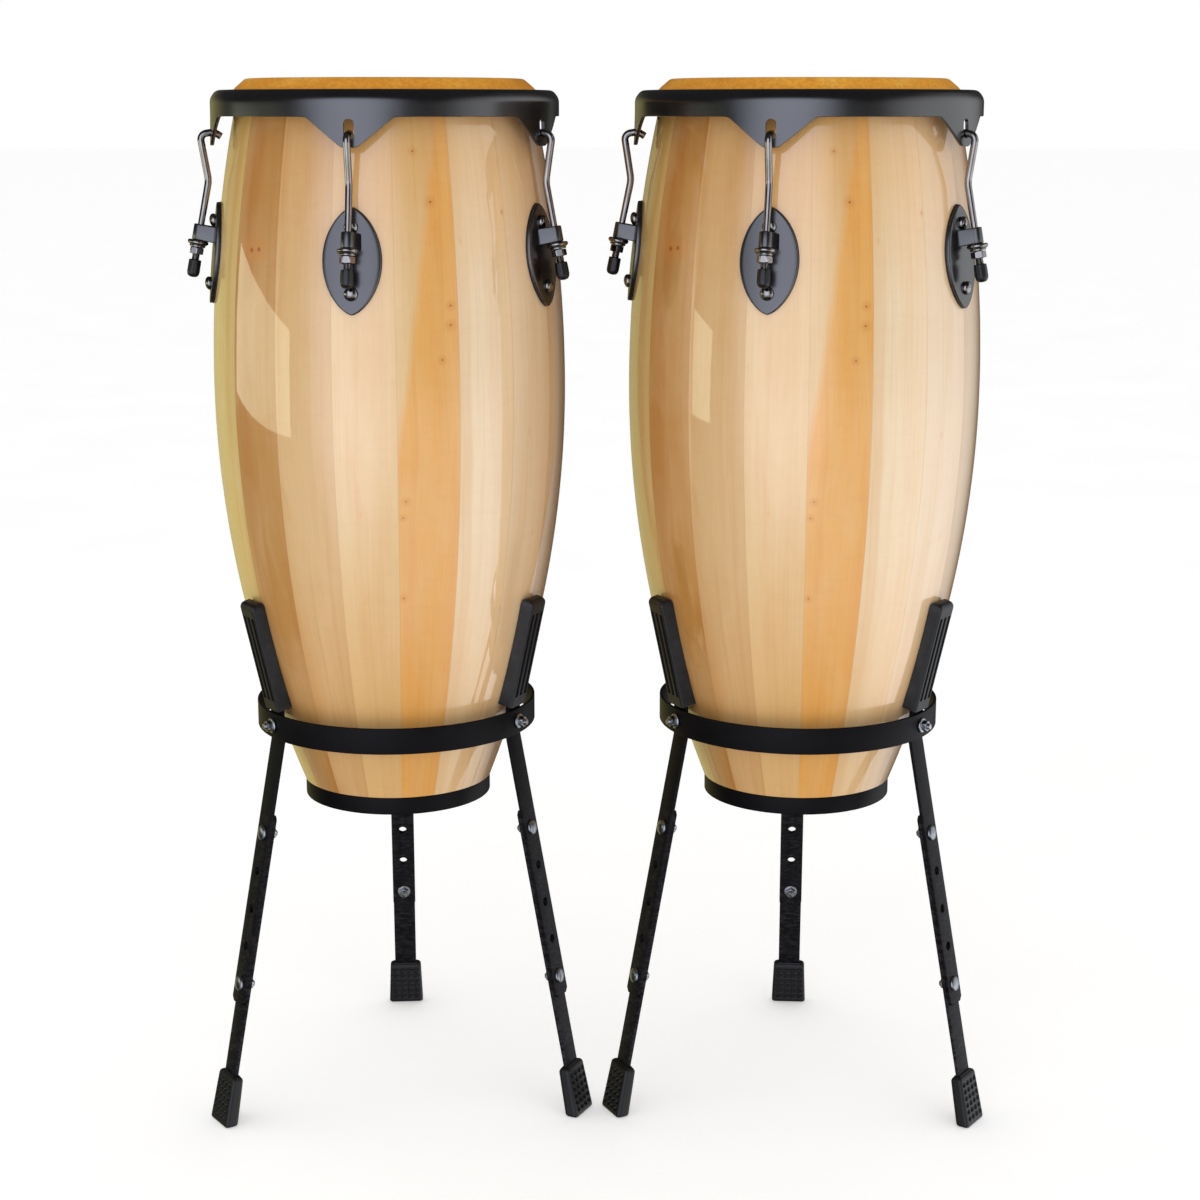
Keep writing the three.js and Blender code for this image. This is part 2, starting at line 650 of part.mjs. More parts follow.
const shapes = {
  shell: shellGeometry(),
  head: headGeometry(),
  bottomRing: bottomRingGeometry(),
  fleshRing: fleshRingGeometry(),
  rim: rimGeometry(),
  lug: lugGeometry(),
  hook: hookGeometry(),
  nut: nutGeometry(),
  standRing: standRingGeometry(),
  arm: armGeometry(),
  pad: padGeometry(),
  leg: legGeometry(),
};

function drum(side, turn) {
  const group = new THREE.Group();
  group.rotation.z = radians(turn);
  group.add(placed(`${side}_shell`, shapes.shell, wood));
  group.add(placed(`${side}_head`, shapes.head, skin));
  group.add(placed(`${side}_bottom_ring`, shapes.bottomRing, blackSteel));
  group.add(placed(`${side}_flesh_ring`, shapes.fleshRing, skin));
  group.add(placed(`${side}_rim`, shapes.rim, blackSteel));
  for (let i = 0; i < LUG_COUNT; i += 1) {
    const azimuth = lugAzimuth(i);
    group.add(placed(`${side}_lug_${i + 1}`, shapes.lug, blackSteel, azimuth));
    group.add(placed(`${side}_tuning_hook_${i + 1}`, shapes.hook, chrome, azimuth));
    group.add(placed(`${side}_tuning_nut_${i + 1}`, shapes.nut, chrome, azimuth));
  }
  return group;
}

function stand(side, turn) {
  const group = new THREE.Group();
  group.rotation.z = radians(turn);
  group.add(placed(`${side}_stand_ring`, shapes.standRing, blackSteel));
  LEG_AZIMUTHS.forEach((azimuth, i) => {
    group.add(placed(`${side}_stand_arm_${i + 1}`, shapes.arm, blackSteel, azimuth));
    group.add(placed(`${side}_cradle_pad_${i + 1}`, shapes.pad, rubber, azimuth));
    group.add(placed(`${side}_sliding_leg_${i + 1}`, shapes.leg, blackSteel, azimuth));
  });
  return group;
}

function conga(side, direction) {
  const group = new THREE.Group();
  group.position.x = (direction * SPACING) / 2;
  group.add(drum(side, -direction * DRUM_TURN));
  group.add(stand(side, -direction * STAND_TURN));
  return group;
}

const congas = new THREE.Group();
congas.add(conga('left', -1));
congas.add(conga('right', 1));

// The origin lies on the floor below the middle of the pair's overall box
congas.updateMatrixWorld(true);
const middle = new THREE.Box3().setFromObject(congas).getCenter(new THREE.Vector3());
congas.position.set(-middle.x, -middle.y, 0);

export default congas;
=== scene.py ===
# A pair of stave conga drums in black basket stands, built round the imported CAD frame.
# Metres, +Z up. Each repeated shape is made once, facing -Y with its drum's axis on the Z axis,
# and is then turned and moved into place.

import math

import bmesh
import bpy
from mathutils import Matrix, Vector


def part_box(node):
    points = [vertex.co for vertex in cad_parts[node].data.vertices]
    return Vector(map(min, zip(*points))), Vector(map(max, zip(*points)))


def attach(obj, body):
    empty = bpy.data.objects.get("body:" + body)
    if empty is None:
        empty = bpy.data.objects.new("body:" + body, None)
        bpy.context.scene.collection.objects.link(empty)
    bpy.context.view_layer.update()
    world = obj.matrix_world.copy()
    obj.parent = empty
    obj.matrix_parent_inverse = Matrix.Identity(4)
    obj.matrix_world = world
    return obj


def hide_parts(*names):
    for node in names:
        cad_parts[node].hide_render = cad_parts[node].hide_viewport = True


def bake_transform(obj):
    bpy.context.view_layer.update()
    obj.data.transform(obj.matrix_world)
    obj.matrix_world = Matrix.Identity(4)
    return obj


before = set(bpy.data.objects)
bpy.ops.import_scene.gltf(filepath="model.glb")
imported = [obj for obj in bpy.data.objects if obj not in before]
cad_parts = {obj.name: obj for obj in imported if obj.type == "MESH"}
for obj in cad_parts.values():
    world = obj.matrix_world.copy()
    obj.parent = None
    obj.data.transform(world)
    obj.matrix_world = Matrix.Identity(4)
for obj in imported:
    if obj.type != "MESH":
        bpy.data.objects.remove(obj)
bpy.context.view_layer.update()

# ---- Sizes, from the frame where it has them ----

SIDES = ("left", "right")
LUG_COUNT = 5
FIRST_LUG_AZIMUTH = -11.4
LEG_AZIMUTHS = (-60, 60, 180)
DRUM_TURN = {"left": 5.1, "right": -5.1}
STAND_TURN = {"left": 4.0, "right": -4.0}

SHELL_LOW, SHELL_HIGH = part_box("left_shell")
HEAD_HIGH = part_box("left_head")[1]
RIM_LOW, RIM_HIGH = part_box("left_rim")
FOOT_RING_LOW, FOOT_RING_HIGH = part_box("left_bottom_ring")
STAND_RING_LOW, STAND_RING_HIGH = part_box("left_stand_ring")

BELLY_Z = 0.745
BELLY_RADIUS = 0.1753
SHOULDER_Z = 1.034
SHOULDER_RADIUS = 0.1424
STEP_Z = 0.3386
STEP_RADIUS = 0.0964
RABBET_RADIUS = 0.0924
SHELL_WALL = 0.012
SHELL_TOP_Z = SHELL_HIGH.z
STAVES = 18
SEAM_AZIMUTH = 1.8
FOOT_EASE = 0.0008

HEAD_TOP_Z = HEAD_HIGH.z
HEAD_FLAT_RADIUS = 0.134
HEAD_THICKNESS = 0.0019
FLESH_RING_RADIUS = 0.156
FLESH_RING_Z = 1.0239
FLESH_RING_BAR = 0.0036

RIM_RADIUS = 0.1703
RIM_TOP_Z = RIM_HIGH.z
RIM_EDGE_Z = 1.0072
RIM_PLATE = 0.0035
TAB_HALF_WIDTH = 0.042
TAB_TIP_HALF_WIDTH = 0.0075
TAB_TIP_Z = RIM_LOW.z
SLOT_HALF_WIDTH = 0.005
SLOT_TOP_Z = 1.0055
SLOT_FOOT_Z = 0.9868
TAB_FLARE = 0.0011

PLATE_Z = 0.8765
PLATE_HALF_HEIGHT = 0.0493
PLATE_HALF_WIDTH = 0.0281
GASKET_DEPTH = 0.0018
PLATE_DEPTH = 0.0046
PLATE_INSET = 0.0004
SCREW_OFFSETS = (0.0315, -0.0295)
EAR_RADIUS = 0.1845
EAR_Z = 0.896
ROD_LEAN = math.radians(11)
ROD_RADIUS = 0.0035
THREAD_RADIUS = 0.0039
THREAD_PITCH = 0.00125
NUT_ACROSS_FLATS = 0.0128
NUT_BORE = 0.00475
SCREW_RADIUS = 0.0066
SCREW_HEIGHT = 0.0052
HOOK_CORNERS = ((0.1605, 0.988), (0.1675, 0.9923), (0.1809, 0.990), (0.174, 0.946))
HOOK_BENDS = (0.006, 0.0062, 0.028)
END_EASE = 0.0005

ARM_RADIUS = 0.1362
ARM_BEND_TOP_Z = 0.424
ARM_BEND_FOOT_Z = 0.394
ARM_TOP = (0.1612, 0.532)
ARM_LENGTH = 0.275
BAR_WIDTH = 0.025
LEG_BAR_WIDTH = 0.024
BAR_THICKNESS = 0.0035
LEG_LEAN = math.radians(11.2)
LEG_TOP = 0.077
LEG_STEP = 0.00035
HOLE_START = 0.097
HOLE_PITCH = 0.0394
HOLE_COUNT = 5
HOLE_RADIUS = 0.0046
RING_OUTER = 0.1426
RING_INNER = 0.1396
PAD_WIDTH = 0.029
PAD_LENGTH = 0.118
PAD_FACE = 0.00595
BOOT_HEIGHT = 0.053
BOOT_HALF_WIDTHS = (0.01925, 0.01725)
BOOT_HALF_DEPTHS = (0.00725, 0.006)
BOLT_RADIUS = 0.0030
BOLT_HEAD_HEIGHT = 0.0042
BOLT_NUT_BORE = 0.0029
BOLT_NUT_ACROSS_FLATS = 0.0100


def drum_axis(side):
    low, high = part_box(f"{side}_stand_ring")
    return Vector(((low.x + high.x) / 2, (low.y + high.y) / 2, 0))


def lug_azimuth(index):
    return FIRST_LUG_AZIMUTH + 360 / LUG_COUNT * index


def shell_radius(z):
    upper = z > BELLY_Z
    end_z, end_radius = (SHOULDER_Z, SHOULDER_RADIUS) if upper else (STEP_Z, STEP_RADIUS)
    share = (z - BELLY_Z) / (end_z - BELLY_Z)
    return BELLY_RADIUS - (BELLY_RADIUS - end_radius) * share**2


def smooth(low, high, value):
    share = min(max((value - low) / (high - low), 0), 1)
    return share * share * (3 - 2 * share)


def spaced(start, end, count):
    return [start + (end - start) * i / (count - 1) for i in range(count)]


def circle(radius, height, count):
    """Points on a level circle round Z."""
    angles = spaced(0, 2 * math.pi, count + 1)[:-1]
    return [(radius * math.cos(a), radius * math.sin(a), height) for a in angles]


def turned_about(side, azimuth):
    """The place on a drum's axis, turned about it by an angle in degrees."""
    return Matrix.Translation(drum_axis(side)) @ Matrix.Rotation(math.radians(azimuth), 4, "Z")


# ---- Mesh tools ----


class Shape:
    """Vertices and faces gathered from several parts, in one list."""

    def __init__(self):
        self.points = []
        self.faces = []

    def grid(self, rows, close_rows=False, close_columns=False, flip=False):
        """Quads between rows of points. A closed direction joins its last line to its first."""
        base = len(self.points)
        count, width = len(rows), len(rows[0])
        for row in rows:
            self.points.extend(row)
        for i in range(count if close_rows else count - 1):
            for j in range(width if close_columns else width - 1):
                a = base + i * width + j
                b = base + i * width + (j + 1) % width
                c = base + (i + 1) % count * width + (j + 1) % width
                d = base + (i + 1) % count * width + j
                self.faces.append((a, d, c, b) if flip else (a, b, c, d))
        return self

    def cap(self, loop, flip=False):
        """A fan that closes a loop of points at its middle."""
        base = len(self.points)
        middle = sum((Vector(p) for p in loop), Vector()) / len(loop)
        self.points.extend([*loop, tuple(middle)])
        for i in range(len(loop)):
            a, b = base + i, base + (i + 1) % len(loop)
            self.faces.append((b, a, base + len(loop)) if flip else (a, b, base + len(loop)))
        return self

    def mesh(self, name, matrix=None, sharp=35):
        mesh = bpy.data.meshes.new(name)
        mesh.from_pydata([tuple(p) for p in self.points], [], self.faces)
        if matrix is not None:
            mesh.transform(matrix)
        return tidy(mesh, sharp)


def shaded(mesh, sharp):
    """The mesh shaded smooth, except at edges sharper than an angle in degrees."""
    mesh.shade_smooth()
    mesh.set_sharp_from_angle(angle=math.radians(sharp))
    return mesh


def tidy(mesh, sharp):
    """Merges doubled points, turns the faces outwards and shades the mesh."""
    work = bmesh.new()
    work.from_mesh(mesh)
    bmesh.ops.remove_doubles(work, verts=work.verts, dist=1e-6)
    bmesh.ops.dissolve_degenerate(work, edges=work.edges, dist=1e-7)
    bmesh.ops.recalc_face_normals(work, faces=work.faces)
    work.to_mesh(mesh)
    work.free()
    return shaded(mesh, sharp)


def joined(name, *meshes, sharp=35):
    """One mesh from several."""
    shape = Shape()
    for mesh in meshes:
        base = len(shape.points)
        shape.points.extend(v.co.to_tuple() for v in mesh.vertices)
        shape.faces.extend(tuple(base + i for i in p.vertices) for p in mesh.polygons)
    result = bpy.data.meshes.new(name)
    result.from_pydata(shape.points, [], shape.faces)
    return shaded(result, sharp)


def cut(mesh, cutter, sharp):
    """The mesh less the cutter."""
    holder = bpy.data.objects.new("work", mesh)
    tool = bpy.data.objects.new("cutter", cutter)
    for piece in (holder, tool):
        bpy.context.scene.collection.objects.link(piece)
    modifier = holder.modifiers.new("cut", "BOOLEAN")
    modifier.operation = "DIFFERENCE"
    modifier.solver = "EXACT"
    modifier.object = tool
    bpy.context.view_layer.update()
    whole = holder.evaluated_get(bpy.context.evaluated_depsgraph_get())
    result = bpy.data.meshes.new_from_object(whole)
    bpy.data.objects.remove(holder)
    bpy.data.objects.remove(tool)
    return shaded(result, sharp)


def turned(profile, sides, closed=True):
    """A profile turned about Z. A radius is a number or a function of the angle from +X."""
    angles = [2 * math.pi * i / sides for i in range(sides)]
    rows = []
    for radius, height in profile:
        sizes = [radius(a) if callable(radius) else radius for a in angles]
        rows.append([(s * math.cos(a), s * math.sin(a), height) for s, a in zip(sizes, angles)])
    return Shape().grid(rows, close_rows=closed, close_columns=True)


def rounded(corners, bends, steps=6):
    """A path through the corners with each inner corner turned into an arc of the given radius."""
    path = [Vector(corners[0])]
    for i, bend in enumerate(bends, 1):
        corner = Vector(corners[i])
        back = (Vector(corners[i - 1]) - corner).normalized()
        ahead = (Vector(corners[i + 1]) - corner).normalized()
        half = back.angle(ahead) / 2
        reach = bend / math.tan(half)
        centre = corner + (back + ahead).normalized() * (bend / math.sin(half))
        start, end = corner + back * reach - centre, corner + ahead * reach - centre
        sweep = start.angle(end)
        for k in range(steps + 1):
            share = k / steps
            if sweep > 1e-6:
                mixed = start * math.sin((1 - share) * sweep) + end * math.sin(share * sweep)
                path.append(centre + mixed / math.sin(sweep))
    path.append(Vector(corners[-1]))
    return path


def radial(radius, height, across=0.0):
    """A point of the -Y slice: distance from the drum's axis, height, and distance to the right."""
    return (across, -radius, height)


def place(name, mesh, material, matrix, body, slot, node):
    """Puts one piece of the object in place, hangs it on its body and hides the frame part it replaces."""
    piece = bpy.data.objects.new(name, mesh)
    bpy.context.scene.collection.objects.link(piece)
    if not piece.data.materials:
        piece.data.materials.append(material)
    piece.matrix_world = matrix
    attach(piece, body)
    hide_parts(node)
    return piece


# ---- Material tools ----


class Tree:
    """Short ways to add nodes to a tree."""

    def __init__(self, tree):
        self.tree = tree

    def add(self, kind, inputs=None, **settings):
        node = self.tree.nodes.new(kind)
        for key, value in settings.items():
            setattr(node, key, value)
        for key, value in (inputs or {}).items():
            self.put(node.inputs[key], value)
        return node

    def put(self, socket, value):
        if isinstance(value, bpy.types.NodeSocket):
            self.tree.links.new(value, socket)
        else:
            socket.default_value = value

    def mix(self, share, a, b, kind="MIX"):
        node = self.add("ShaderNodeMix", data_type="RGBA", blend_type=kind)
        self.put(node.inputs["Factor"], share)
        self.put(node.inputs["A"], a)
        self.put(node.inputs["B"], b)
        return node.outputs["Result"]


class Nodes(Tree):
    """A material and short ways to add nodes to it."""

    def __init__(self, name):
        self.material = bpy.data.materials.new(name)
        self.material.use_nodes = True
        super().__init__(self.material.node_tree)
        self.shader = self.tree.nodes["Principled BSDF"]

    def set(self, **values):
        for key, value in values.items():
            self.put(self.shader.inputs[key.replace("_", " ")], value)

    def math(self, operation, a, b=0.0, c=0.0):
        return self.add("ShaderNodeMath", {0: a, 1: b, 2: c}, operation=operation).outputs[0]

    def scaled(self, vector, scale):
        return self.add("ShaderNodeVectorMath", {0: vector, 1: scale}, operation="MULTIPLY").outputs[0]

    def noise(self, vector, scale=1.0, detail=3.0, roughness=0.5, distortion=0.0):
        inputs = {"Vector": vector, "Scale": scale, "Detail": detail, "Roughness": roughness}
        inputs["Distortion"] = distortion
        return self.add("ShaderNodeTexNoise", inputs).outputs["Fac"]

    def cells(self, vector, scale=1.0):
        return self.add("ShaderNodeTexVoronoi", {"Vector": vector, "Scale": scale}).outputs

    def ramp(self, value, *stops, interpolation="LINEAR"):
        node = self.add("ShaderNodeValToRGB", {"Fac": value})
        node.color_ramp.interpolation = interpolation
        elements = node.color_ramp.elements
        while len(elements) < len(stops):
            elements.new(0.5)
        for element, (position, colour) in zip(elements, stops):
            element.position = position
            element.color = colour if hasattr(colour, "__len__") else (colour, colour, colour, 1)
        return node.outputs["Color"]

    def bump(self, height, distance, strength=1.0, normal=None):
        inputs = {"Height": height, "Distance": distance, "Strength": strength}
        if normal is not None:
            inputs["Normal"] = normal
        return self.add("ShaderNodeBump", inputs).outputs["Normal"]

    def place(self):
        return self.add("ShaderNodeTexCoord").outputs["Object"]

    def worn_edges(self):
        pointed = self.add("ShaderNodeNewGeometry").outputs["Pointiness"]
        return self.ramp(pointed, (0.53, 0.0), (0.6, 1.0))


def srgb(red, green, blue):
    """A colour given as 0 to 255 display values."""

    def linear(value):
        value /= 255
        return value / 12.92 if value <= 0.04045 else ((value + 0.055) / 1.055) ** 2.4

    return (linear(red), linear(green), linear(blue), 1)


# ---- Materials ----

# Tones of the staves round the drum, to the right of the seam nearest the player
STAVE_TONES = (
    srgb(232, 172, 90),
    srgb(236, 210, 172),
    srgb(232, 206, 172),
    srgb(212, 180, 140),
    srgb(229, 194, 146),
    srgb(202, 154, 88),
    srgb(226, 188, 136),
    srgb(216, 178, 128),
    srgb(230, 198, 154),
    srgb(212, 158, 88),
    srgb(228, 190, 140),
    srgb(220, 180, 128),
    srgb(204, 160, 102),
    srgb(229, 196, 148),
    srgb(214, 186, 120),
    srgb(190, 138, 72),
    srgb(217, 178, 126),
    srgb(228, 193, 140),
)

# The two staves whose pale sapwood runs in from the left seam above this height, and how fast
SAPWOOD_STAVES = (0, 9)
SAPWOOD_FOOT = 0.70
SAPWOOD_SLOPE = 2.6

# Larger knots: staves round the drum, height, radius
KNOTS = (
    (15.42, 0.884, 0.0026),
    (15.60, 0.885, 0.0023),
    (0.62, 0.930, 0.0012),
    (0.36, 0.976, 0.0009),
    (0.88, 0.835, 0.0010),
    (0.87, 0.817, 0.0011),
    (0.72, 0.785, 0.0009),
    (0.12, 0.652, 0.0008),
    (0.07, 0.636, 0.0008),
    (0.07, 0.556, 0.0009),
)


def wood_material():
    """Pale lacquered staves: a tone for each stave, fine fibres, drifting bands, pin knots."""
    m = Nodes("lacquered_staves")
    uv = m.add("ShaderNodeUVMap", uv_map="staves").outputs["UV"]
    parts = m.add("ShaderNodeSeparateXYZ", {0: uv})
    stave, height = parts.outputs["X"], parts.outputs["Y"]
    number = m.math("FLOOR", stave)
    across = m.math("FRACT", stave)
    width = 2 * math.pi * BELLY_RADIUS / STAVES

    # Slightly wandering fibres: a place on the board, in metres, different on every stave
    slow = m.add("ShaderNodeCombineXYZ", {"X": number, "Y": m.math("MULTIPLY", height, 3.0)}).outputs[0]
    sideways = m.math("MULTIPLY_ADD", m.noise(slow), 0.02, m.math("MULTIPLY", across, width))
    board = m.add(
        "ShaderNodeCombineXYZ",
        {"X": sideways, "Y": height, "Z": m.math("MULTIPLY", number, 3.17)},
    ).outputs[0]
    fibres = m.noise(m.scaled(board, (1300, 22, 1)), detail=3, roughness=0.6)
    streaks = m.noise(m.scaled(board, (260, 3.2, 1)), detail=4, roughness=0.6)
    bands = m.noise(m.scaled(board, (46, 1.3, 1)), detail=3, distortion=0.5)
    clouds = m.noise(m.scaled(board, (20, 6, 1)), detail=3, distortion=1.0)
    figure = m.noise(m.scaled(board, (34, 120, 1)), detail=2, distortion=0.8)

    stops = [(i / STAVES, tone) for i, tone in enumerate(STAVE_TONES)]
    share = m.math("DIVIDE", m.math("ADD", number, 0.5), float(STAVES))
    base = m.ramp(share, *stops, interpolation="CONSTANT")

    # The sapwood's slanting border, on the two staves that have it
    reach = m.math("MULTIPLY_ADD", height, SAPWOOD_SLOPE, -SAPWOOD_FOOT * SAPWOOD_SLOPE)
    wander = m.math("MULTIPLY_ADD", m.noise(m.scaled(board, (9, 5, 1)), detail=3), 0.3, -0.15)
    inside = m.math("SUBTRACT", m.math("ADD", reach, wander), across)
    sapwood = m.ramp(m.math("ADD", inside, 0.5), (0.44, 0.0), (0.58, 1.0))
    for_stave = [m.math("COMPARE", number, float(i), 0.5) for i in SAPWOOD_STAVES]
    here = m.math("ADD", *for_stave)
    base = m.mix(m.math("MULTIPLY", sapwood, here), base, STAVE_TONES[-1])

    warm = m.mix(1.0, base, srgb(242, 216, 180), "MULTIPLY")
    dark = m.mix(1.0, base, srgb(218, 190, 156), "MULTIPLY")
    pale = m.mix(0.35, base, srgb(232, 204, 160))
    colour = m.mix(m.ramp(bands, (0.42, 0.0), (0.7, 0.55)), base, warm)
    colour = m.mix(m.ramp(clouds, (0.36, 0.5), (0.56, 0.0)), colour, pale)
    colour = m.mix(m.ramp(streaks, (0.52, 0.0), (0.78, 0.2)), colour, dark)
    colour = m.mix(m.ramp(fibres, (0.35, 0.12), (0.6, 0.0)), colour, dark)
    colour = m.mix(m.ramp(figure, (0.5, 0.0), (0.75, 0.07)), colour, dark)

    # Painted shade: the colour is darker and yellower towards both ends, where the light falls off, and this
    # shows most on the pale staves
    paleness = m.ramp(m.add("ShaderNodeSeparateColor", {0: base}).outputs["Blue"], (0.08, 0.25), (0.25, 1.0))
    top = m.math("MULTIPLY", m.ramp(height, (0.84, 0.0), (0.97, 1.0)), paleness)
    foot = m.math("MULTIPLY", m.ramp(height, (0.44, 1.0), (0.62, 0.0)), paleness)
    colour = m.mix(top, colour, m.mix(1.0, colour, srgb(250, 234, 210), "MULTIPLY"))
    colour = m.mix(foot, colour, m.mix(1.0, colour, srgb(250, 236, 214), "MULTIPLY"))

    # Pin knots everywhere, and the larger ones with a halo
    spots = m.cells(m.scaled(board, (58, 26, 1)))
    chosen = m.add("ShaderNodeSeparateColor", {0: spots["Color"]}).outputs["Red"]
    knot_here = m.ramp(chosen, (0.93, 0.0), (0.94, 1.0))
    core = m.math("MULTIPLY", m.ramp(spots["Distance"], (0.02, 0.6), (0.05, 0.0)), knot_here)
    halo = m.math("MULTIPLY", m.ramp(spots["Distance"], (0.03, 0.35), (0.16, 0.0)), knot_here)
    for centre, level, radius in KNOTS:
        aside = m.math("MULTIPLY", m.math("SUBTRACT", stave, centre), width)
        above = m.math("MULTIPLY", m.math("SUBTRACT", height, level), 1.1)
        offset = m.add("ShaderNodeCombineXYZ", {"X": aside, "Y": above}).outputs[0]
        away = m.add("ShaderNodeVectorMath", {0: offset}, operation="LENGTH").outputs["Value"]
        away = m.math("DIVIDE", away, radius * 8)
        core = m.math("MAXIMUM", core, m.ramp(away, (0.07, 0.85), (0.16, 0.0)))
        halo = m.math("MAXIMUM", halo, m.ramp(away, (0.08, 0.45), (0.9, 0.0)))
    colour = m.mix(halo, colour, srgb(206, 132, 62))
    colour = m.mix(core, colour, srgb(156, 78, 24))

    # The glue line between two staves
    edge = m.math("MINIMUM", across, m.math("SUBTRACT", 1.0, across))
    colour = m.mix(m.ramp(edge, (0.004, 0.16), (0.012, 0.0)), colour, srgb(150, 104, 60))

    m.set(Base_Color=colour, Roughness=m.math("MULTIPLY_ADD", fibres, 0.14, 0.34))
    m.shader.inputs["Specular IOR Level"].default_value = 0.3
    m.shader.inputs["Coat Weight"].default_value = 1.0
    m.shader.inputs["Coat Roughness"].default_value = 0.03
    m.shader.inputs["Coat IOR"].default_value = 1.8
    m.set(Normal=m.bump(fibres, 0.00005, 0.4))
    lacquer = m.noise(m.scaled(m.place(), (1, 1, 0.6)), scale=30, detail=2)
    m.put(m.shader.inputs["Coat Normal"], m.bump(lacquer, 0.0006, 0.12))
    return m.material


def bare_wood_material():
    """The unfinished inside of the shell."""
    m = Nodes("bare_staves")
    uv = m.add("ShaderNodeUVMap", uv_map="staves").outputs["UV"]
    fibres = m.noise(m.scaled(uv, (60, 14, 1)), detail=5, roughness=0.65)
    streaks = m.noise(m.scaled(uv, (9, 2, 1)), detail=3)
    colour = m.ramp(fibres, (0.3, srgb(176, 134, 88)), (0.7, srgb(222, 186, 138)))
    colour = m.mix(m.ramp(streaks, (0.4, 0.0), (0.7, 0.5)), colour, srgb(186, 140, 92))
    m.set(Base_Color=colour, Roughness=m.math("MULTIPLY_ADD", fibres, 0.2, 0.6))
    m.set(Normal=m.bump(fibres, 0.0002, 0.7))
    return m.material


def hide_material():
    """Thick golden-tan hide: mottled, with pores and darker where it rolls over the edge."""
    m = Nodes("golden_hide")
    place = m.place()
    mottle = m.noise(place, scale=22, detail=5, roughness=0.6, distortion=0.4)
    patches = m.noise(place, scale=7, detail=3, distortion=0.8)
    pores = m.cells(place, 620)["Distance"]
    fine = m.noise(place, scale=260, detail=4, roughness=0.6)
    colour = m.ramp(mottle, (0.3, srgb(226, 148, 30)), (0.55, srgb(240, 170, 48)), (0.75, srgb(248, 194, 84)))
    colour = m.mix(m.ramp(patches, (0.4, 0.0), (0.7, 0.5)), colour, srgb(206, 122, 20))
    height = m.add("ShaderNodeSeparateXYZ", {0: place}).outputs["Z"]
    side = m.ramp(m.math("DIVIDE", m.math("SUBTRACT", HEAD_TOP_Z, height), 0.02), (0.02, 0.0), (0.6, 0.65))
    colour = m.mix(side, colour, srgb(242, 162, 38))
    colour = m.mix(m.ramp(fine, (0.4, 0.25), (0.6, 0.0)), colour, srgb(150, 88, 32))
    m.set(Base_Color=colour, Roughness=m.math("MULTIPLY_ADD", mottle, 0.25, 0.32))
    m.shader.inputs["Specular IOR Level"].default_value = 0.3
    m.shader.inputs["Subsurface Weight"].default_value = 0.06
    m.shader.inputs["Subsurface Scale"].default_value = 0.002
    grain = m.bump(pores, 0.00012, 0.5)
    m.set(Normal=m.bump(mottle, 0.0004, 0.4, grain))
    return m.material


def powder_coat_material(name, tones, gloss, sheen):
    """Black powder coat: fine orange peel, haze in the gloss, grey where edges have rubbed."""
    m = Nodes(name)
    place = m.place()
    peel = m.noise(place, scale=900, detail=2)
    haze = m.noise(place, scale=35, detail=5, roughness=0.65)
    scuffs = m.noise(m.scaled(place, (1, 1, 4)), scale=120, detail=5, roughness=0.7)
    worn = m.math("MULTIPLY", m.worn_edges(), m.ramp(scuffs, (0.45, 0.0), (0.7, 0.8)))
    colour = m.ramp(haze, (0.3, tones[0]), (0.7, tones[1]))
    colour = m.mix(worn, colour, srgb(70, 70, 76))
    m.set(Base_Color=colour, Roughness=m.math("MULTIPLY_ADD", haze, 0.1, gloss))
    m.shader.inputs["Specular IOR Level"].default_value = sheen
    m.shader.inputs["IOR"].default_value = 1.6
    m.set(Normal=m.bump(peel, 0.00006, 0.3))
    return m.material


def chrome_material():
    """Bright plating with faint wipe marks and slightly duller patches."""
    m = Nodes("bright_chrome")
    place = m.place()
    smears = m.noise(m.scaled(place, (1, 1, 0.3)), scale=160, detail=4, roughness=0.6)
    marks = m.noise(m.scaled(place, (1, 1, 0.1)), scale=1400, detail=2)
    colour = m.ramp(smears, (0.3, srgb(128, 125, 122)), (0.7, srgb(160, 156, 152)))
    m.set(Base_Color=colour, Roughness=m.math("MULTIPLY_ADD", smears, 0.12, 0.06))
    m.shader.inputs["Metallic"].default_value = 1.0
    m.set(Normal=m.bump(marks, 0.00003, 0.3))
    return m.material


def zinc_material():
    """Zinc-plated fasteners: bluish grey with cloudy passivation."""
    m = Nodes("zinc_plate")
    place = m.place()
    clouds = m.noise(place, scale=240, detail=4, roughness=0.6)
    worn = m.worn_edges()
    tones = (0.3, srgb(128, 134, 142)), (0.6, srgb(158, 162, 166)), (0.8, srgb(166, 160, 148))
    colour = m.mix(m.math("MULTIPLY", worn, 0.5), m.ramp(clouds, *tones), srgb(214, 214, 214))
    m.set(Base_Color=colour, Roughness=m.math("MULTIPLY_ADD", clouds, 0.3, 0.16))
    m.shader.inputs["Metallic"].default_value = 1.0
    m.set(Normal=m.bump(clouds, 0.00005, 0.4))
    return m.material


def rubber_material(name="moulded_rubber", dark=srgb(13, 13, 15), light=srgb(24, 24, 27), gloss=0.36):
    """Moulded rubber: matt, dusty in the hollows, with a fine pebbled skin."""
    m = Nodes(name)
    place = m.place()
    skin = m.noise(place, scale=1100, detail=3, roughness=0.6)
    dust = m.noise(place, scale=60, detail=5, roughness=0.7)
    worn = m.math("MULTIPLY", m.worn_edges(), m.ramp(dust, (0.4, 0.0), (0.7, 0.6)))
    colour = m.ramp(dust, (0.35, dark), (0.75, light))
    colour = m.mix(worn, colour, srgb(66, 66, 69))
    m.set(Base_Color=colour, Roughness=m.math("MULTIPLY_ADD", dust, 0.2, gloss))
    m.shader.inputs["Specular IOR Level"].default_value = 0.5
    m.set(Normal=m.bump(skin, 0.00012, 0.5))
    return m.material


# ---- Shell ----


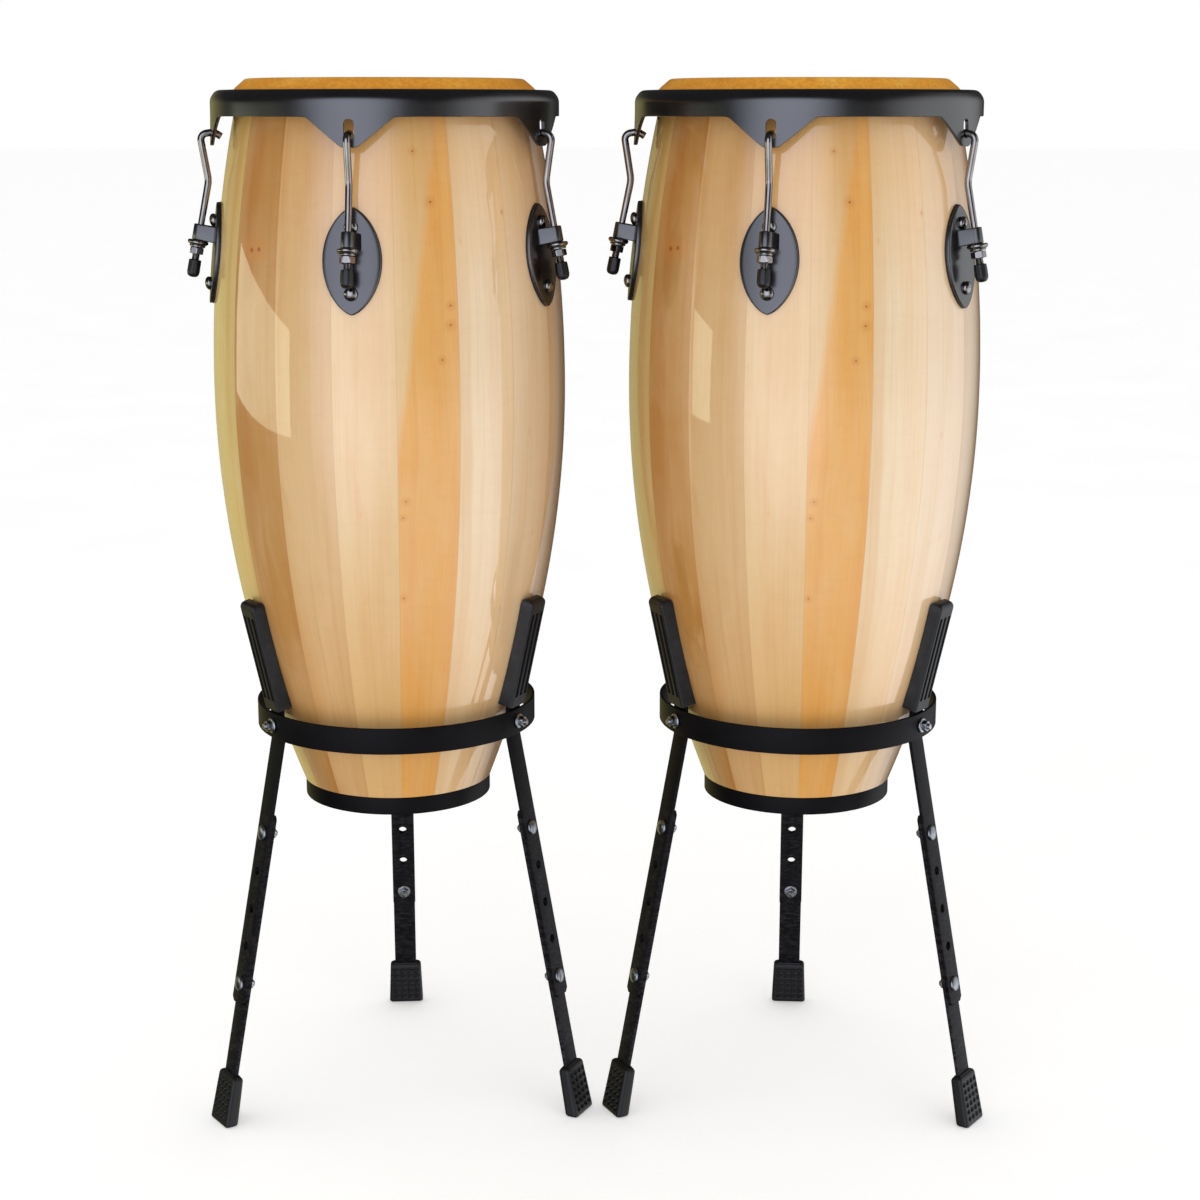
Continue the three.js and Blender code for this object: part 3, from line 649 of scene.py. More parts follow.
def shell_mesh(wood, bare):
    """The stave shell. The map counts staves to the right of the seam and metres of height."""
    sides = STAVES * 12
    outer = [(RABBET_RADIUS, SHELL_LOW.z + FOOT_EASE), (RABBET_RADIUS, STEP_Z)]
    outer += [(shell_radius(z), z) for z in spaced(STEP_Z, SHOULDER_Z, 60)]
    crown = [(0.1405, 1.0367), (0.1379, 1.0387), (0.1358, 1.03985), (0.1337, SHELL_TOP_Z)]
    inner_top = [(0.1318, SHELL_TOP_Z), (0.1308, 1.0396), (shell_radius(SHOULDER_Z) - SHELL_WALL, 1.0370)]
    inner = [(shell_radius(z) - SHELL_WALL, z) for z in spaced(SHOULDER_Z, SHELL_LOW.z, 24)]
    bore = inner[-1][0]
    inner[-1] = (bore, SHELL_LOW.z + FOOT_EASE)
    foot = [(bore + FOOT_EASE, SHELL_LOW.z), (RABBET_RADIUS - FOOT_EASE, SHELL_LOW.z)]
    profile = outer + crown + inner_top + inner + foot
    mesh = bpy.data.meshes.new("stave_shell")
    count = len(profile)
    points = []
    for radius, height in profile:
        for i in range(sides):
            angle = math.radians(SEAM_AZIMUTH) + 2 * math.pi * i / sides
            points.append((radius * math.sin(angle), -radius * math.cos(angle), height))
    faces = []
    uvs = []
    for row in range(count):
        nxt = (row + 1) % count
        for i in range(sides):
            j = (i + 1) % sides
            faces.append((row * sides + i, row * sides + j, nxt * sides + j, nxt * sides + i))
            left, right = i * STAVES / sides, (i + 1) * STAVES / sides
            low, high = profile[row][1], profile[nxt][1]
            inset = 0.0001
            uvs += [(left + inset, low), (right - inset, low), (right - inset, high), (left + inset, high)]
    mesh.from_pydata(points, [], faces)
    layer = mesh.uv_layers.new(name="staves")
    layer.data.foreach_set("uv", [value for uv in uvs for value in uv])
    mesh.materials.append(wood)
    mesh.materials.append(bare)
    inside_from = len(outer) + len(crown) + len(inner_top) - 1
    for polygon in mesh.polygons:
        row = polygon.index // sides
        polygon.material_index = 1 if inside_from <= row < inside_from + len(inner) - 1 else 0
    return shaded(mesh, 35)


# ---- Head, flesh ring and rim ----


def head_mesh():
    """The hide: flat across the top, rolled over the bearing edge and down to the flesh ring."""
    edge = rounded(
        [(HEAD_FLAT_RADIUS - 0.006, HEAD_TOP_Z, 0), (HEAD_FLAT_RADIUS + 0.0015, HEAD_TOP_Z, 0),
         (0.1466, 1.0336, 0), (0.1500, 1.0262, 0), (0.1519, 1.0235, 0)],
        (0.007, 0.012, 0.002), 5,
    )
    outer = [(p.x, p.y) for p in edge]
    inner = []
    for i, (radius, height) in enumerate(outer):
        before, after = outer[max(i - 1, 0)], outer[min(i + 1, len(outer) - 1)]
        along = Vector((after[0] - before[0], after[1] - before[1])).normalized()
        inner.append((radius + along.y * HEAD_THICKNESS, height - along.x * HEAD_THICKNESS))
    middle = 0.0006
    top = [(r, HEAD_TOP_Z) for r in (middle, 0.02, 0.045, 0.07, 0.09, 0.105, 0.118)]
    under = [(r, HEAD_TOP_Z - HEAD_THICKNESS) for r, _ in reversed(top)]
    lip = [(outer[-1][0] - 0.0005, outer[-1][1] - 0.0006), (inner[-1][0] + 0.0005, inner[-1][1] - 0.0006)]
    profile = top + outer + lip + inner[::-1] + under
    sides = 144
    shape = turned(profile, sides, closed=False)
    shape.cap(circle(middle, HEAD_TOP_Z, sides))
    shape.cap(circle(middle, HEAD_TOP_Z - HEAD_THICKNESS, sides))
    return shape.mesh("hide_head")


def flesh_ring_mesh():
    """The hoop with the hide lapped round it: a slightly uneven ring."""
    sides = 192
    profile = []
    for k in range(16):
        tilt = 2 * math.pi * k / 16

        def size(angle, tilt=tilt):
            lap = 0.00018 * math.sin(angle * 23 + tilt) + 0.00012 * math.sin(angle * 41 + 2 * tilt)
            return FLESH_RING_RADIUS + (FLESH_RING_BAR + lap) * math.cos(tilt)

        profile.append((size, FLESH_RING_Z + FLESH_RING_BAR * math.sin(tilt)))
    return turned(profile, sides).mesh("lapped_ring")


def tab_drop(across):
    """How far the rim's lower edge hangs down at a distance from a tab's middle."""
    slope = (TAB_HALF_WIDTH - abs(across)) / (TAB_HALF_WIDTH - TAB_TIP_HALF_WIDTH)
    depth = RIM_EDGE_Z - TAB_TIP_Z
    soft = 0.06
    low = 0.5 * (slope + math.sqrt(slope * slope + soft * soft)) if slope < 0.5 else slope
    high = 1 - 0.5 * ((1 - low) + math.sqrt((1 - low) ** 2 + soft * soft)) if low > 0.5 else low
    return depth * max(high, 0)


def rim_angles():
    """Angles round the rim, closer together over the tabs."""
    coarse = [360 * i / 240 for i in range(240)]
    fine = []
    for i in range(LUG_COUNT):
        fine += [lug_azimuth(i) + 0.25 * k for k in range(-66, 67)]
    angles = sorted({round(a % 360, 4) for a in coarse + fine})
    kept = [angles[0]]
    for angle in angles[1:]:
        if angle - kept[-1] > 0.12:
            kept.append(angle)
    return kept


def slot_outline():
    """The hook's slot: straight sides between two half circles."""
    top, foot = SLOT_TOP_Z - SLOT_HALF_WIDTH, SLOT_FOOT_Z + SLOT_HALF_WIDTH
    turns = [(a, top) for a in spaced(0, math.pi, 17)]
    turns += [(a, foot) for a in spaced(math.pi, 2 * math.pi, 17)]
    return [(SLOT_HALF_WIDTH * math.cos(a), z + SLOT_HALF_WIDTH * math.sin(a)) for a, z in turns]


def rim_mesh():
    """The rolled rim, whose wall runs down into five pointed tabs, each with a slot for its hook."""
    shoulder = rounded(
        [(0.1522, RIM_TOP_Z - 0.0036, 0), (0.1528, RIM_TOP_Z - 0.0002, 0), (0.1645, RIM_TOP_Z - 0.0002, 0),
         (RIM_RADIUS, RIM_TOP_Z - 0.0085, 0), (RIM_RADIUS, RIM_TOP_Z - 0.015, 0)],
        (0.0026, 0.0085, 0.011), 6,
    )
    outer = [(p.x, p.y) for p in shoulder]
    inner = [
        (RIM_RADIUS - RIM_PLATE, RIM_TOP_Z - 0.015),
        (RIM_RADIUS - RIM_PLATE - 0.0006, RIM_TOP_Z - 0.011),
        (0.1640, RIM_TOP_Z - 0.0064),
        (0.1600, RIM_TOP_Z - 0.0040),
        (0.1560, RIM_TOP_Z - 0.0036),
        (0.1530, RIM_TOP_Z - 0.0041),
    ]
    wall_steps = 8
    rows = []
    for azimuth in rim_angles():
        offsets = [(azimuth - lug_azimuth(i) + 180) % 360 - 180 for i in range(LUG_COUNT)]
        nearest = min(offsets, key=abs)
        drop = tab_drop(math.radians(nearest) * RIM_RADIUS)
        foot = RIM_EDGE_Z - drop
        flare = TAB_FLARE * drop / (RIM_EDGE_Z - TAB_TIP_Z)
        top = outer[-1][1]
        column = list(outer)
        for k in range(1, wall_steps + 1):
            share = k / wall_steps
            height = top + (foot + 0.0005 - top) * share
            column.append((RIM_RADIUS + flare * share**2, height))
        column.append((RIM_RADIUS + flare - 0.0005, foot))
        column.append((RIM_RADIUS + flare - RIM_PLATE + 0.0005, foot))
        for k in range(wall_steps, 0, -1):
            share = k / wall_steps
            height = top + (foot + 0.0005 - top) * share
            column.append((RIM_RADIUS + flare * share**2 - RIM_PLATE, height))
        column += inner
        angle = math.radians(azimuth)
        rows.append([(r * math.sin(angle), -r * math.cos(angle), z) for r, z in column])
    rim = Shape().grid(rows, close_rows=True, close_columns=True).mesh("rolled_rim")
    cutters = Shape()
    for i in range(LUG_COUNT):
        turn = Matrix.Rotation(math.radians(lug_azimuth(i)), 3, "Z")
        near = [turn @ Vector(radial(0.16, z, x)) for x, z in slot_outline()]
        far = [turn @ Vector(radial(0.18, z, x)) for x, z in slot_outline()]
        cutters.grid([near, far], close_columns=True).cap(near).cap(far, flip=True)
    return cut(rim, cutters.mesh("slots"), 40)


def ring_band_mesh(name, inner, outer, low, high, bead):
    """A flat band with eased edges."""
    corners = []
    for radius, height, start in ((outer, low, 270), (outer, high, 0), (inner, high, 90), (inner, low, 180)):
        centre_r = radius - bead if radius == outer else radius + bead
        centre_z = height + bead if height == low else height - bead
        for k in range(5):
            angle = math.radians(start + 90 * k / 4)
            corners.append((centre_r + bead * math.cos(angle), centre_z + bead * math.sin(angle)))
    return turned(corners, 180).mesh(name, sharp=50)


def foot_band_mesh():
    outer = FOOT_RING_HIGH.x - drum_axis("left").x
    low, high = FOOT_RING_LOW.z, FOOT_RING_HIGH.z
    return ring_band_mesh("foot_band", RABBET_RADIUS + 0.0004, outer, low, high, 0.0008)


def cradle_ring_mesh():
    low, high = STAND_RING_LOW.z, STAND_RING_HIGH.z
    return ring_band_mesh("cradle_ring", RING_INNER, RING_OUTER, low, high, 0.0007)


# ---- Tuning hardware ----

# Local frame of a rod's threaded end: x outwards, y to the right, z up the rod, from the ear's middle
ROD_FRAME = Matrix(
    (
        (0, 1, 0, 0),
        (-math.cos(ROD_LEAN), 0, math.sin(ROD_LEAN), -EAR_RADIUS),
        (math.sin(ROD_LEAN), 0, math.cos(ROD_LEAN), EAR_Z),
        (0, 0, 0, 1),
    )
)


def plate_half_width(z, half_height, half_width):
    """Half the width of an oval with pointed, slightly rounded tips."""
    return half_width * max(1 - (z / half_height) ** 2, 0) ** 0.68


def plate_mesh(name, half_height, half_width, inner_offset, outer_offset, bead):
    """A curved plate that lies against the shell, with an eased outer edge."""
    shape = Shape()
    heights = [half_height * math.sin(a) for a in spaced(-math.pi / 2, math.pi / 2, 57)]

    def row(z, offset, shrink):
        span = max(plate_half_width(z, half_height, half_width) - shrink, 0.0001)
        level = z * (half_height - shrink) / half_height + PLATE_Z
        radius = shell_radius(level) + offset
        points = []
        for share in spaced(-1, 1, 17):
            across = span * share
            points.append((across, -math.sqrt(radius**2 - across**2), level))
        return points

    layers = [(inner_offset, bead * 0.3), (inner_offset + 0.0002, 0.0), (outer_offset - bead, 0.0)]
    layers += [(outer_offset - bead * 0.3, bead * 0.3), (outer_offset, bead)]
    front = [row(z, *layers[-1]) for z in heights]
    back = [row(z, *layers[0]) for z in heights]
    shape.grid(front)
    shape.grid(back, flip=True)
    loops = []
    for offset, shrink in layers:
        rows = [row(z, offset, shrink) for z in heights]
        loops.append([r[-1] for r in rows] + [r[0] for r in reversed(rows)])
    shape.grid(loops, close_columns=True)
    return shape.mesh(name, sharp=50)


def ear_size(angle):
    """Distance from the hook's hole to the ear's outline, seen along the rod."""
    nose, base, back = 0.0064, 0.0102, 0.0168
    x, y = math.cos(angle), abs(math.sin(angle))
    # The side runs from the nose's widest point back to the plate
    lean = math.atan((base - nose) / back)
    side = nose / max(y * math.cos(lean) + x * math.sin(lean), 1e-6)
    if x >= 0.02:
        return min(nose, side) if y < 0.99 else nose
    return min(side, back / max(-x, 1e-6))


def ear_mesh():
    """The block that stands out from the plate and holds the hook."""
    up, down, ease, hole = 0.0082, -0.0072, 0.0011, 0.0049
    loops = [
        (hole, down + 0.0004), (hole, up - 0.0004), (hole + 0.0004, up),
        (lambda a: ear_size(a) - ease, up), (lambda a: ear_size(a) - ease * 0.3, up - ease * 0.3),
        (ear_size, up - ease), (ear_size, down + ease),
        (lambda a: ear_size(a) - ease * 0.3, down + ease * 0.3), (lambda a: ear_size(a) - ease, down),
        (hole + 0.0004, down),
    ]
    return turned(loops, 96).mesh("ear", ROD_FRAME)


def lug_plate_mesh():
    """The steel plate, a little smaller than its gasket, with its ear."""
    half_height = PLATE_HALF_HEIGHT - PLATE_INSET
    half_width = PLATE_HALF_WIDTH - PLATE_INSET
    plate = plate_mesh("plate", half_height, half_width, GASKET_DEPTH, PLATE_DEPTH, 0.0008)
    return joined("lug_plate", plate, ear_mesh(), sharp=50)


def outward_frame(z, radius, tilt=0.0):
    """Local frame of a fastener that points out from the drum: x right, y up, z outwards."""
    lean = Matrix.Rotation(tilt, 4, "X")
    base = Matrix(((1, 0, 0, 0), (0, 0, -1, -radius), (0, 1, 0, z), (0, 0, 0, 1)))
    return base @ lean


def dome(radius, depth, skirt):
    """A round screw head: a short skirt under a flattened dome."""
    sides, middle = 40, radius * 0.02
    profile = [(radius * 0.92, -0.001), (radius, skirt * 0.3), (radius, skirt)]
    for k in range(1, 9):
        angle = math.pi / 2 * k / 9
        profile.append((radius * math.cos(angle), skirt + (depth - skirt) * math.sin(angle)))
    profile.append((middle, depth))
    return turned(profile, sides, closed=False).cap(circle(middle, depth, sides))


def lug_fittings_mesh():
    """Two round-headed screws, and the cup washer and thin ring under the ear."""
    parts = []
    for offset in SCREW_OFFSETS:
        z = PLATE_Z + offset
        tilt = -math.atan((shell_radius(z + 0.001) - shell_radius(z - 0.001)) / 0.002)
        seat = outward_frame(z, shell_radius(z) + PLATE_DEPTH, tilt)
        parts.append(dome(SCREW_RADIUS, SCREW_HEIGHT, 0.0012).mesh("screw", seat, 60))
    top, low = -0.0074, -0.0119
    cup = [
        (0.0051, low), (0.0051, top), (0.0088, top), (0.0098, top - 0.0006), (0.0101, top - 0.0015),
        (0.0101, top - 0.0026), (0.0096, top - 0.0033), (0.0088, low + 0.0004), (0.0082, low),
    ]
    parts.append(turned(cup, 64).mesh("cup", ROD_FRAME, 50))
    top, low = -0.0120, -0.0139
    ring = [
        (0.0046, low), (0.0046, top), (0.0074, top), (0.0077, top - 0.0004), (0.0077, low + 0.0004),
        (0.0074, low),
    ]
    parts.append(turned(ring, 64).mesh("ring", ROD_FRAME, 50))
    return joined("lug_fittings", *parts, sharp=50)


def thread(radius, depth, pitch, low, high, sides):
    """A rod with a real helical thread, along Z."""
    steps = max(int((high - low) / pitch * 5), 4)
    rows = []
    for i in range(steps + 1):
        height = low + (high - low) * i / steps
        row = []
        for k in range(sides):
            turn = (height / pitch - k / sides) % 1
            size = radius - depth * (1 - abs(2 * turn - 1))
            angle = 2 * math.pi * k / sides
            row.append((size * math.cos(angle), size * math.sin(angle), height))
        rows.append(row)
    return Shape().grid(rows, close_columns=True).cap(rows[0], flip=True).cap(rows[-1])


def swept(path, radius):
    """A round bar along a path that lies in the radial plane, with eased ends."""
    sides = 20
    rows = []
    for i, point in enumerate(path):
        before, after = path[max(i - 1, 0)], path[min(i + 1, len(path) - 1)]
        along = (after - before).normalized()
        normal = Vector((along.y, -along.x, 0))
        size = radius - END_EASE if i in (0, len(path) - 1) else radius
        row = []
        for k in range(sides):
            angle = 2 * math.pi * k / sides
            offset = normal * math.cos(angle) * size
            row.append(radial(point.x + offset.x, point.y + offset.y, size * math.sin(angle)))
        rows.append(row)
    shape = Shape().grid(rows, close_columns=True)
    return shape.cap(rows[0], flip=True).cap(rows[-1])


def rod_point(along):
    return (EAR_RADIUS + along * math.sin(ROD_LEAN), EAR_Z - along * math.cos(ROD_LEAN), 0)


def hook_mesh():
    """The bent hook with its threaded end."""
    corners = [(*c, 0) for c in HOOK_CORNERS] + [rod_point(0.0085)]
    path = rounded(corners, HOOK_BENDS, 8)
    path.insert(1, path[0] + (path[1] - path[0]).normalized() * END_EASE)
    bar = swept(path, ROD_RADIUS).mesh("bar", sharp=50)
    screw = thread(THREAD_RADIUS, 0.0007, THREAD_PITCH, -0.0268, -0.0080, 24).mesh("screw", ROD_FRAME, 60)
    return joined("tuning_hook", bar, screw, sharp=50)


def rod_cap_mesh():
    """The rubber cap pushed on the hook's end, with a waist, flutes and a round nose."""

    def fluted(size, depth):
        return lambda angle: size - depth * (0.5 + 0.5 * math.cos(angle * 8))

    sides = 64
    profile = [
        (0.0041, -0.0266), (0.0056, -0.0266), (0.0060, -0.0271), (fluted(0.0061, 0.0001), -0.0282),
        (fluted(0.0063, 0.0004), -0.0300), (fluted(0.0064, 0.0004), -0.0370),
        (fluted(0.0062, 0.0002), -0.0392), (0.0057, -0.0408), (0.0048, -0.0423), (0.0034, -0.0432),
        (0.0018, -0.0436), (0.0002, -0.0437),
    ]
    shape = turned(profile, sides, closed=False)
    shape.cap(circle(*profile[-1], sides))
    return shape.mesh("rod_cap", ROD_FRAME)


def hex_size(across_flats, rounding):
    """Distance from a hexagon's middle to its outline, with its corners cut back a little."""

    def size(angle):
        flat = (angle + math.pi / 6) % (math.pi / 3) - math.pi / 6
        return min(across_flats / 2 / math.cos(flat), across_flats / 2 / math.cos(math.pi / 6) - rounding)

    return size


def limited(size, most):
    return lambda angle: min(size(angle), most)


def nut_profile(across_flats, bore, low, high):
    """A hexagon nut whose corners are turned off at both ends."""
    size = hex_size(across_flats, across_flats * 0.004)
    flat = across_flats / 2
    corner = flat / math.cos(math.pi / 6)
    chamfer = (corner - flat) * 0.6
    return [
        (bore, low + 0.0006), (bore, high - 0.0006), (bore + 0.0006, high),
        (flat * 0.95, high), (limited(size, flat), high - 0.0001),
        (limited(size, (flat + corner) / 2), high - chamfer * 0.5), (size, high - chamfer),
        (size, low + chamfer), (limited(size, (flat + corner) / 2), low + chamfer * 0.5),
        (limited(size, flat), low + 0.0001), (flat * 0.95, low), (bore + 0.0006, low),
    ]


def tuning_nut_mesh():
    profile = nut_profile(NUT_ACROSS_FLATS, NUT_BORE, -0.0208, -0.0144)
    return turned(profile, 96).mesh("tuning_nut", ROD_FRAME, 30)


# ---- Stand ----

LEG_DOWN = Vector((math.sin(LEG_LEAN), -math.cos(LEG_LEAN), 0))
LEG_OUT = Vector((math.cos(LEG_LEAN), math.sin(LEG_LEAN), 0))
LEG_START = Vector((ARM_RADIUS, ARM_BEND_FOOT_Z, 0))
PAD_START = Vector((ARM_RADIUS, ARM_BEND_TOP_Z, 0))
PAD_UP = (Vector((*ARM_TOP, 0)) - PAD_START).normalized()
PAD_OUT = Vector((PAD_UP.y, -PAD_UP.x, 0))
BOLT_Z = (STAND_RING_LOW.z + STAND_RING_HIGH.z) / 2


def leg_point(along, out=0.0):
    return LEG_START + LEG_DOWN * along + LEG_OUT * out


def bar_shape(path, width, taper):
    """A flat bar of rounded section along a path in the radial plane. Its last end may be narrower."""
    half_w, half_t, ease = width / 2, BAR_THICKNESS / 2, END_EASE
    rows = []
    for i, point in enumerate(path):
        before, after = path[max(i - 1, 0)], path[min(i + 1, len(path) - 1)]
        along = (after - before).normalized()
        normal = Vector((-along.y, along.x, 0))
        narrow = taper if i == len(path) - 1 else 0.0
        row = []
        for sx, sy, start in ((1, 1, 0), (-1, 1, 90), (-1, -1, 180), (1, -1, 270)):
            for k in range(4):
                angle = math.radians(start + 30 * k)
                across = sx * (half_w - narrow - ease) + ease * math.cos(angle)
                out = sy * (half_t - ease) + ease * math.sin(angle)
                spot = point + normal * out
                row.append(radial(spot.x, spot.y, across))
        rows.append(row)
    shape = Shape().grid(rows, close_columns=True)
    return shape.cap(rows[0], flip=True).cap(rows[-1])


def leg_frame(index, out=0.0):
    """Local frame of a leg's hole: x right, y up the leg, z outwards."""
    spot = leg_point(HOLE_START + index * HOLE_PITCH, out)
    return outward_frame(spot.y, spot.x, -LEG_LEAN)


def hole_cutters(indexes):
    sides, reach = 28, 0.01
    parts = []
    for index in indexes:
        shape = turned([(HOLE_RADIUS, -reach), (HOLE_RADIUS, reach)], sides, closed=False)
        shape.cap(circle(HOLE_RADIUS, -reach, sides), flip=True)
        shape.cap(circle(HOLE_RADIUS, reach, sides))
        parts.append(shape.mesh("hole", leg_frame(index)))
    return joined("holes", *parts)


def arm_mesh():
    """The bent bar that carries a pad above the ring and runs down outside the sliding leg."""
    cut_corner = 0.004
    path = rounded([leg_point(ARM_LENGTH), LEG_START, PAD_START, (*ARM_TOP, 0)], (0.02, 0.02), 6)
    path.insert(1, leg_point(ARM_LENGTH - cut_corner))
    path.reverse()
    bar = bar_shape(path, BAR_WIDTH, taper=cut_corner).mesh("arm", sharp=50)
    return cut(bar, hole_cutters(range(1, HOLE_COUNT - 1)), 50)


def leg_mesh():
    """The sliding bar, inside the arm, with its row of holes."""
    out = -BAR_THICKNESS - LEG_STEP
    sole = ARM_BEND_FOOT_Z / math.cos(LEG_LEAN)
    path = [leg_point(sole - 0.03, out), leg_point(LEG_TOP + 0.0035, out), leg_point(LEG_TOP, out)]
    bar = bar_shape(path, LEG_BAR_WIDTH, taper=0.003).mesh("leg", sharp=50)
    return cut(bar, hole_cutters(range(1, HOLE_COUNT - 1)), 50)


def bolt_parts(seat, flange, nut_low, nut_high, end_low, end_high):
    """A flange nut's two parts and the bolt's threaded end that stands out of it."""
    nut = nut_profile(BOLT_NUT_ACROSS_FLATS, BOLT_NUT_BORE, nut_low, nut_high)
    end = thread(BOLT_RADIUS, 0.0005, 0.001, end_low, end_high, 20)
    return [
        turned(flange, 48).mesh("flange", seat, 50),
        turned(nut, 72).mesh("nut", seat, 30),
        end.mesh("end", seat, 60),
    ]


def arm_bolts_mesh():
    """Two carriage bolt heads on the outside, and the ring's bolt with its flange nut."""
    parts = []
    face = BAR_THICKNESS / 2
    for index in (0, HOLE_COUNT - 1):
        parts.append(dome(0.0078, BOLT_HEAD_HEIGHT, 0.0008).mesh("head", leg_frame(index, face), 60))
    seat = outward_frame(BOLT_Z, RING_OUTER + 0.0004)
    flange = [
        (BOLT_RADIUS, 0.0), (0.0074, 0.0), (0.0078, 0.0005), (0.0076, 0.0011), (0.0064, 0.0018),
        (BOLT_RADIUS, 0.0018),
    ]
    parts += bolt_parts(seat, flange, 0.0012, 0.0066, -0.002, 0.0095)
    inside = outward_frame(BOLT_Z, ARM_RADIUS - face) @ Matrix.Rotation(math.pi, 4, "Y")
    parts.append(dome(0.0070, BOLT_HEAD_HEIGHT, 0.0010).mesh("inner_head", inside, 60))
    return joined("arm_bolts", *parts, sharp=50)


def leg_nuts_mesh():
    """Flange nuts and bolt ends on the inner side of the sliding leg."""
    parts = []
    back = -BAR_THICKNESS * 1.5 - LEG_STEP
    flange = [(BOLT_RADIUS, 0.0), (0.0070, 0.0), (0.0073, 0.0005), (0.0070, 0.0010), (BOLT_RADIUS, 0.0014)]
    for index in (0, HOLE_COUNT - 1):
        seat = leg_frame(index, back) @ Matrix.Rotation(math.pi, 4, "Y")
        parts += bolt_parts(seat, flange, 0.0009, 0.0058, -0.001, 0.0080)
    return joined("leg_nuts", *parts, sharp=50)


def pad_mesh():
    """A rubber sleeve over the arm: three long slots outside, a hollow bed for the shell inside."""
    half = PAD_WIDTH / 2
    ease = 0.0022
    slots = (-0.0088, 0.0, 0.0088)
    slot_half, wall, depth = 0.0026, 0.0003, 0.0034
    columns = sorted(
        {round(s + d, 6) for s in slots for d in (-slot_half, -slot_half + wall, slot_half - wall, slot_half)}
        | {round(v, 6) for v in spaced(-half + ease, half - ease, 13)}
    )
    start, end = 0.003, PAD_LENGTH - 0.001
    slot_low, slot_high = 0.014, end - 0.014
    rows_at = sorted(
        {round(v, 6) for v in spaced(start, end - 0.006, 40)}
        | {round(v, 6) for v in (slot_low, slot_low + wall, slot_high - wall, slot_high)}
        | {round(end - 0.006 + 0.006 * math.sin(a), 6) for a in spaced(0, math.pi / 2, 7)}
    )

    def slot_depth(across, along):
        if not slot_low + wall <= along <= slot_high - wall:
            return 0.0
        inside = any(abs(across - s) <= slot_half - wall + 1e-6 for s in slots)
        return depth if inside else 0.0

    def bed(across, along):
        """Distance out from the arm's middle line to the shell's surface, plus a thin gap."""
        spot = PAD_START + PAD_UP * along
        for _ in range(6):
            radius = math.sqrt((shell_radius(spot.y) + 0.0005) ** 2 - across**2)
            spot = spot - PAD_OUT * ((spot.x - radius) * PAD_OUT.x)
        return (spot - PAD_START).dot(PAD_OUT)

    rows = []
    for along in rows_at:
        tip = max(along - (end - 0.006), 0) / 0.006
        shrink = 0.006 * (1 - math.sqrt(max(1 - tip**2, 0)))
        narrow = min(shrink, 0.0052)
        face = PAD_FACE - narrow * 0.8
        row = []

        def point(across, out):
            spot = PAD_START + PAD_UP * along + PAD_OUT * out
            return radial(spot.x, spot.y, across)

        scale = (half - narrow * 0.55) / half
        for across in columns:
            row.append(point(across * scale, face - slot_depth(across, along)))
        corner = []
        for angle in spaced(0, math.pi / 2, 5):
            across = (half - ease + ease * math.sin(angle)) * scale
            corner.append((across, face - ease + ease * math.cos(angle)))
        row += [point(across, out) for across, out in corner]
        for across in spaced(half * scale, -half * scale, 5):
            row.append(point(across, bed(across, along) + narrow * 0.5))
        row += [point(-across, out) for across, out in reversed(corner)]
        rows.append(row)
    shape = Shape().grid(rows, close_columns=True)
    return shape.cap(rows[0], flip=True).cap(rows[-1]).mesh("cradle_pad", sharp=40)


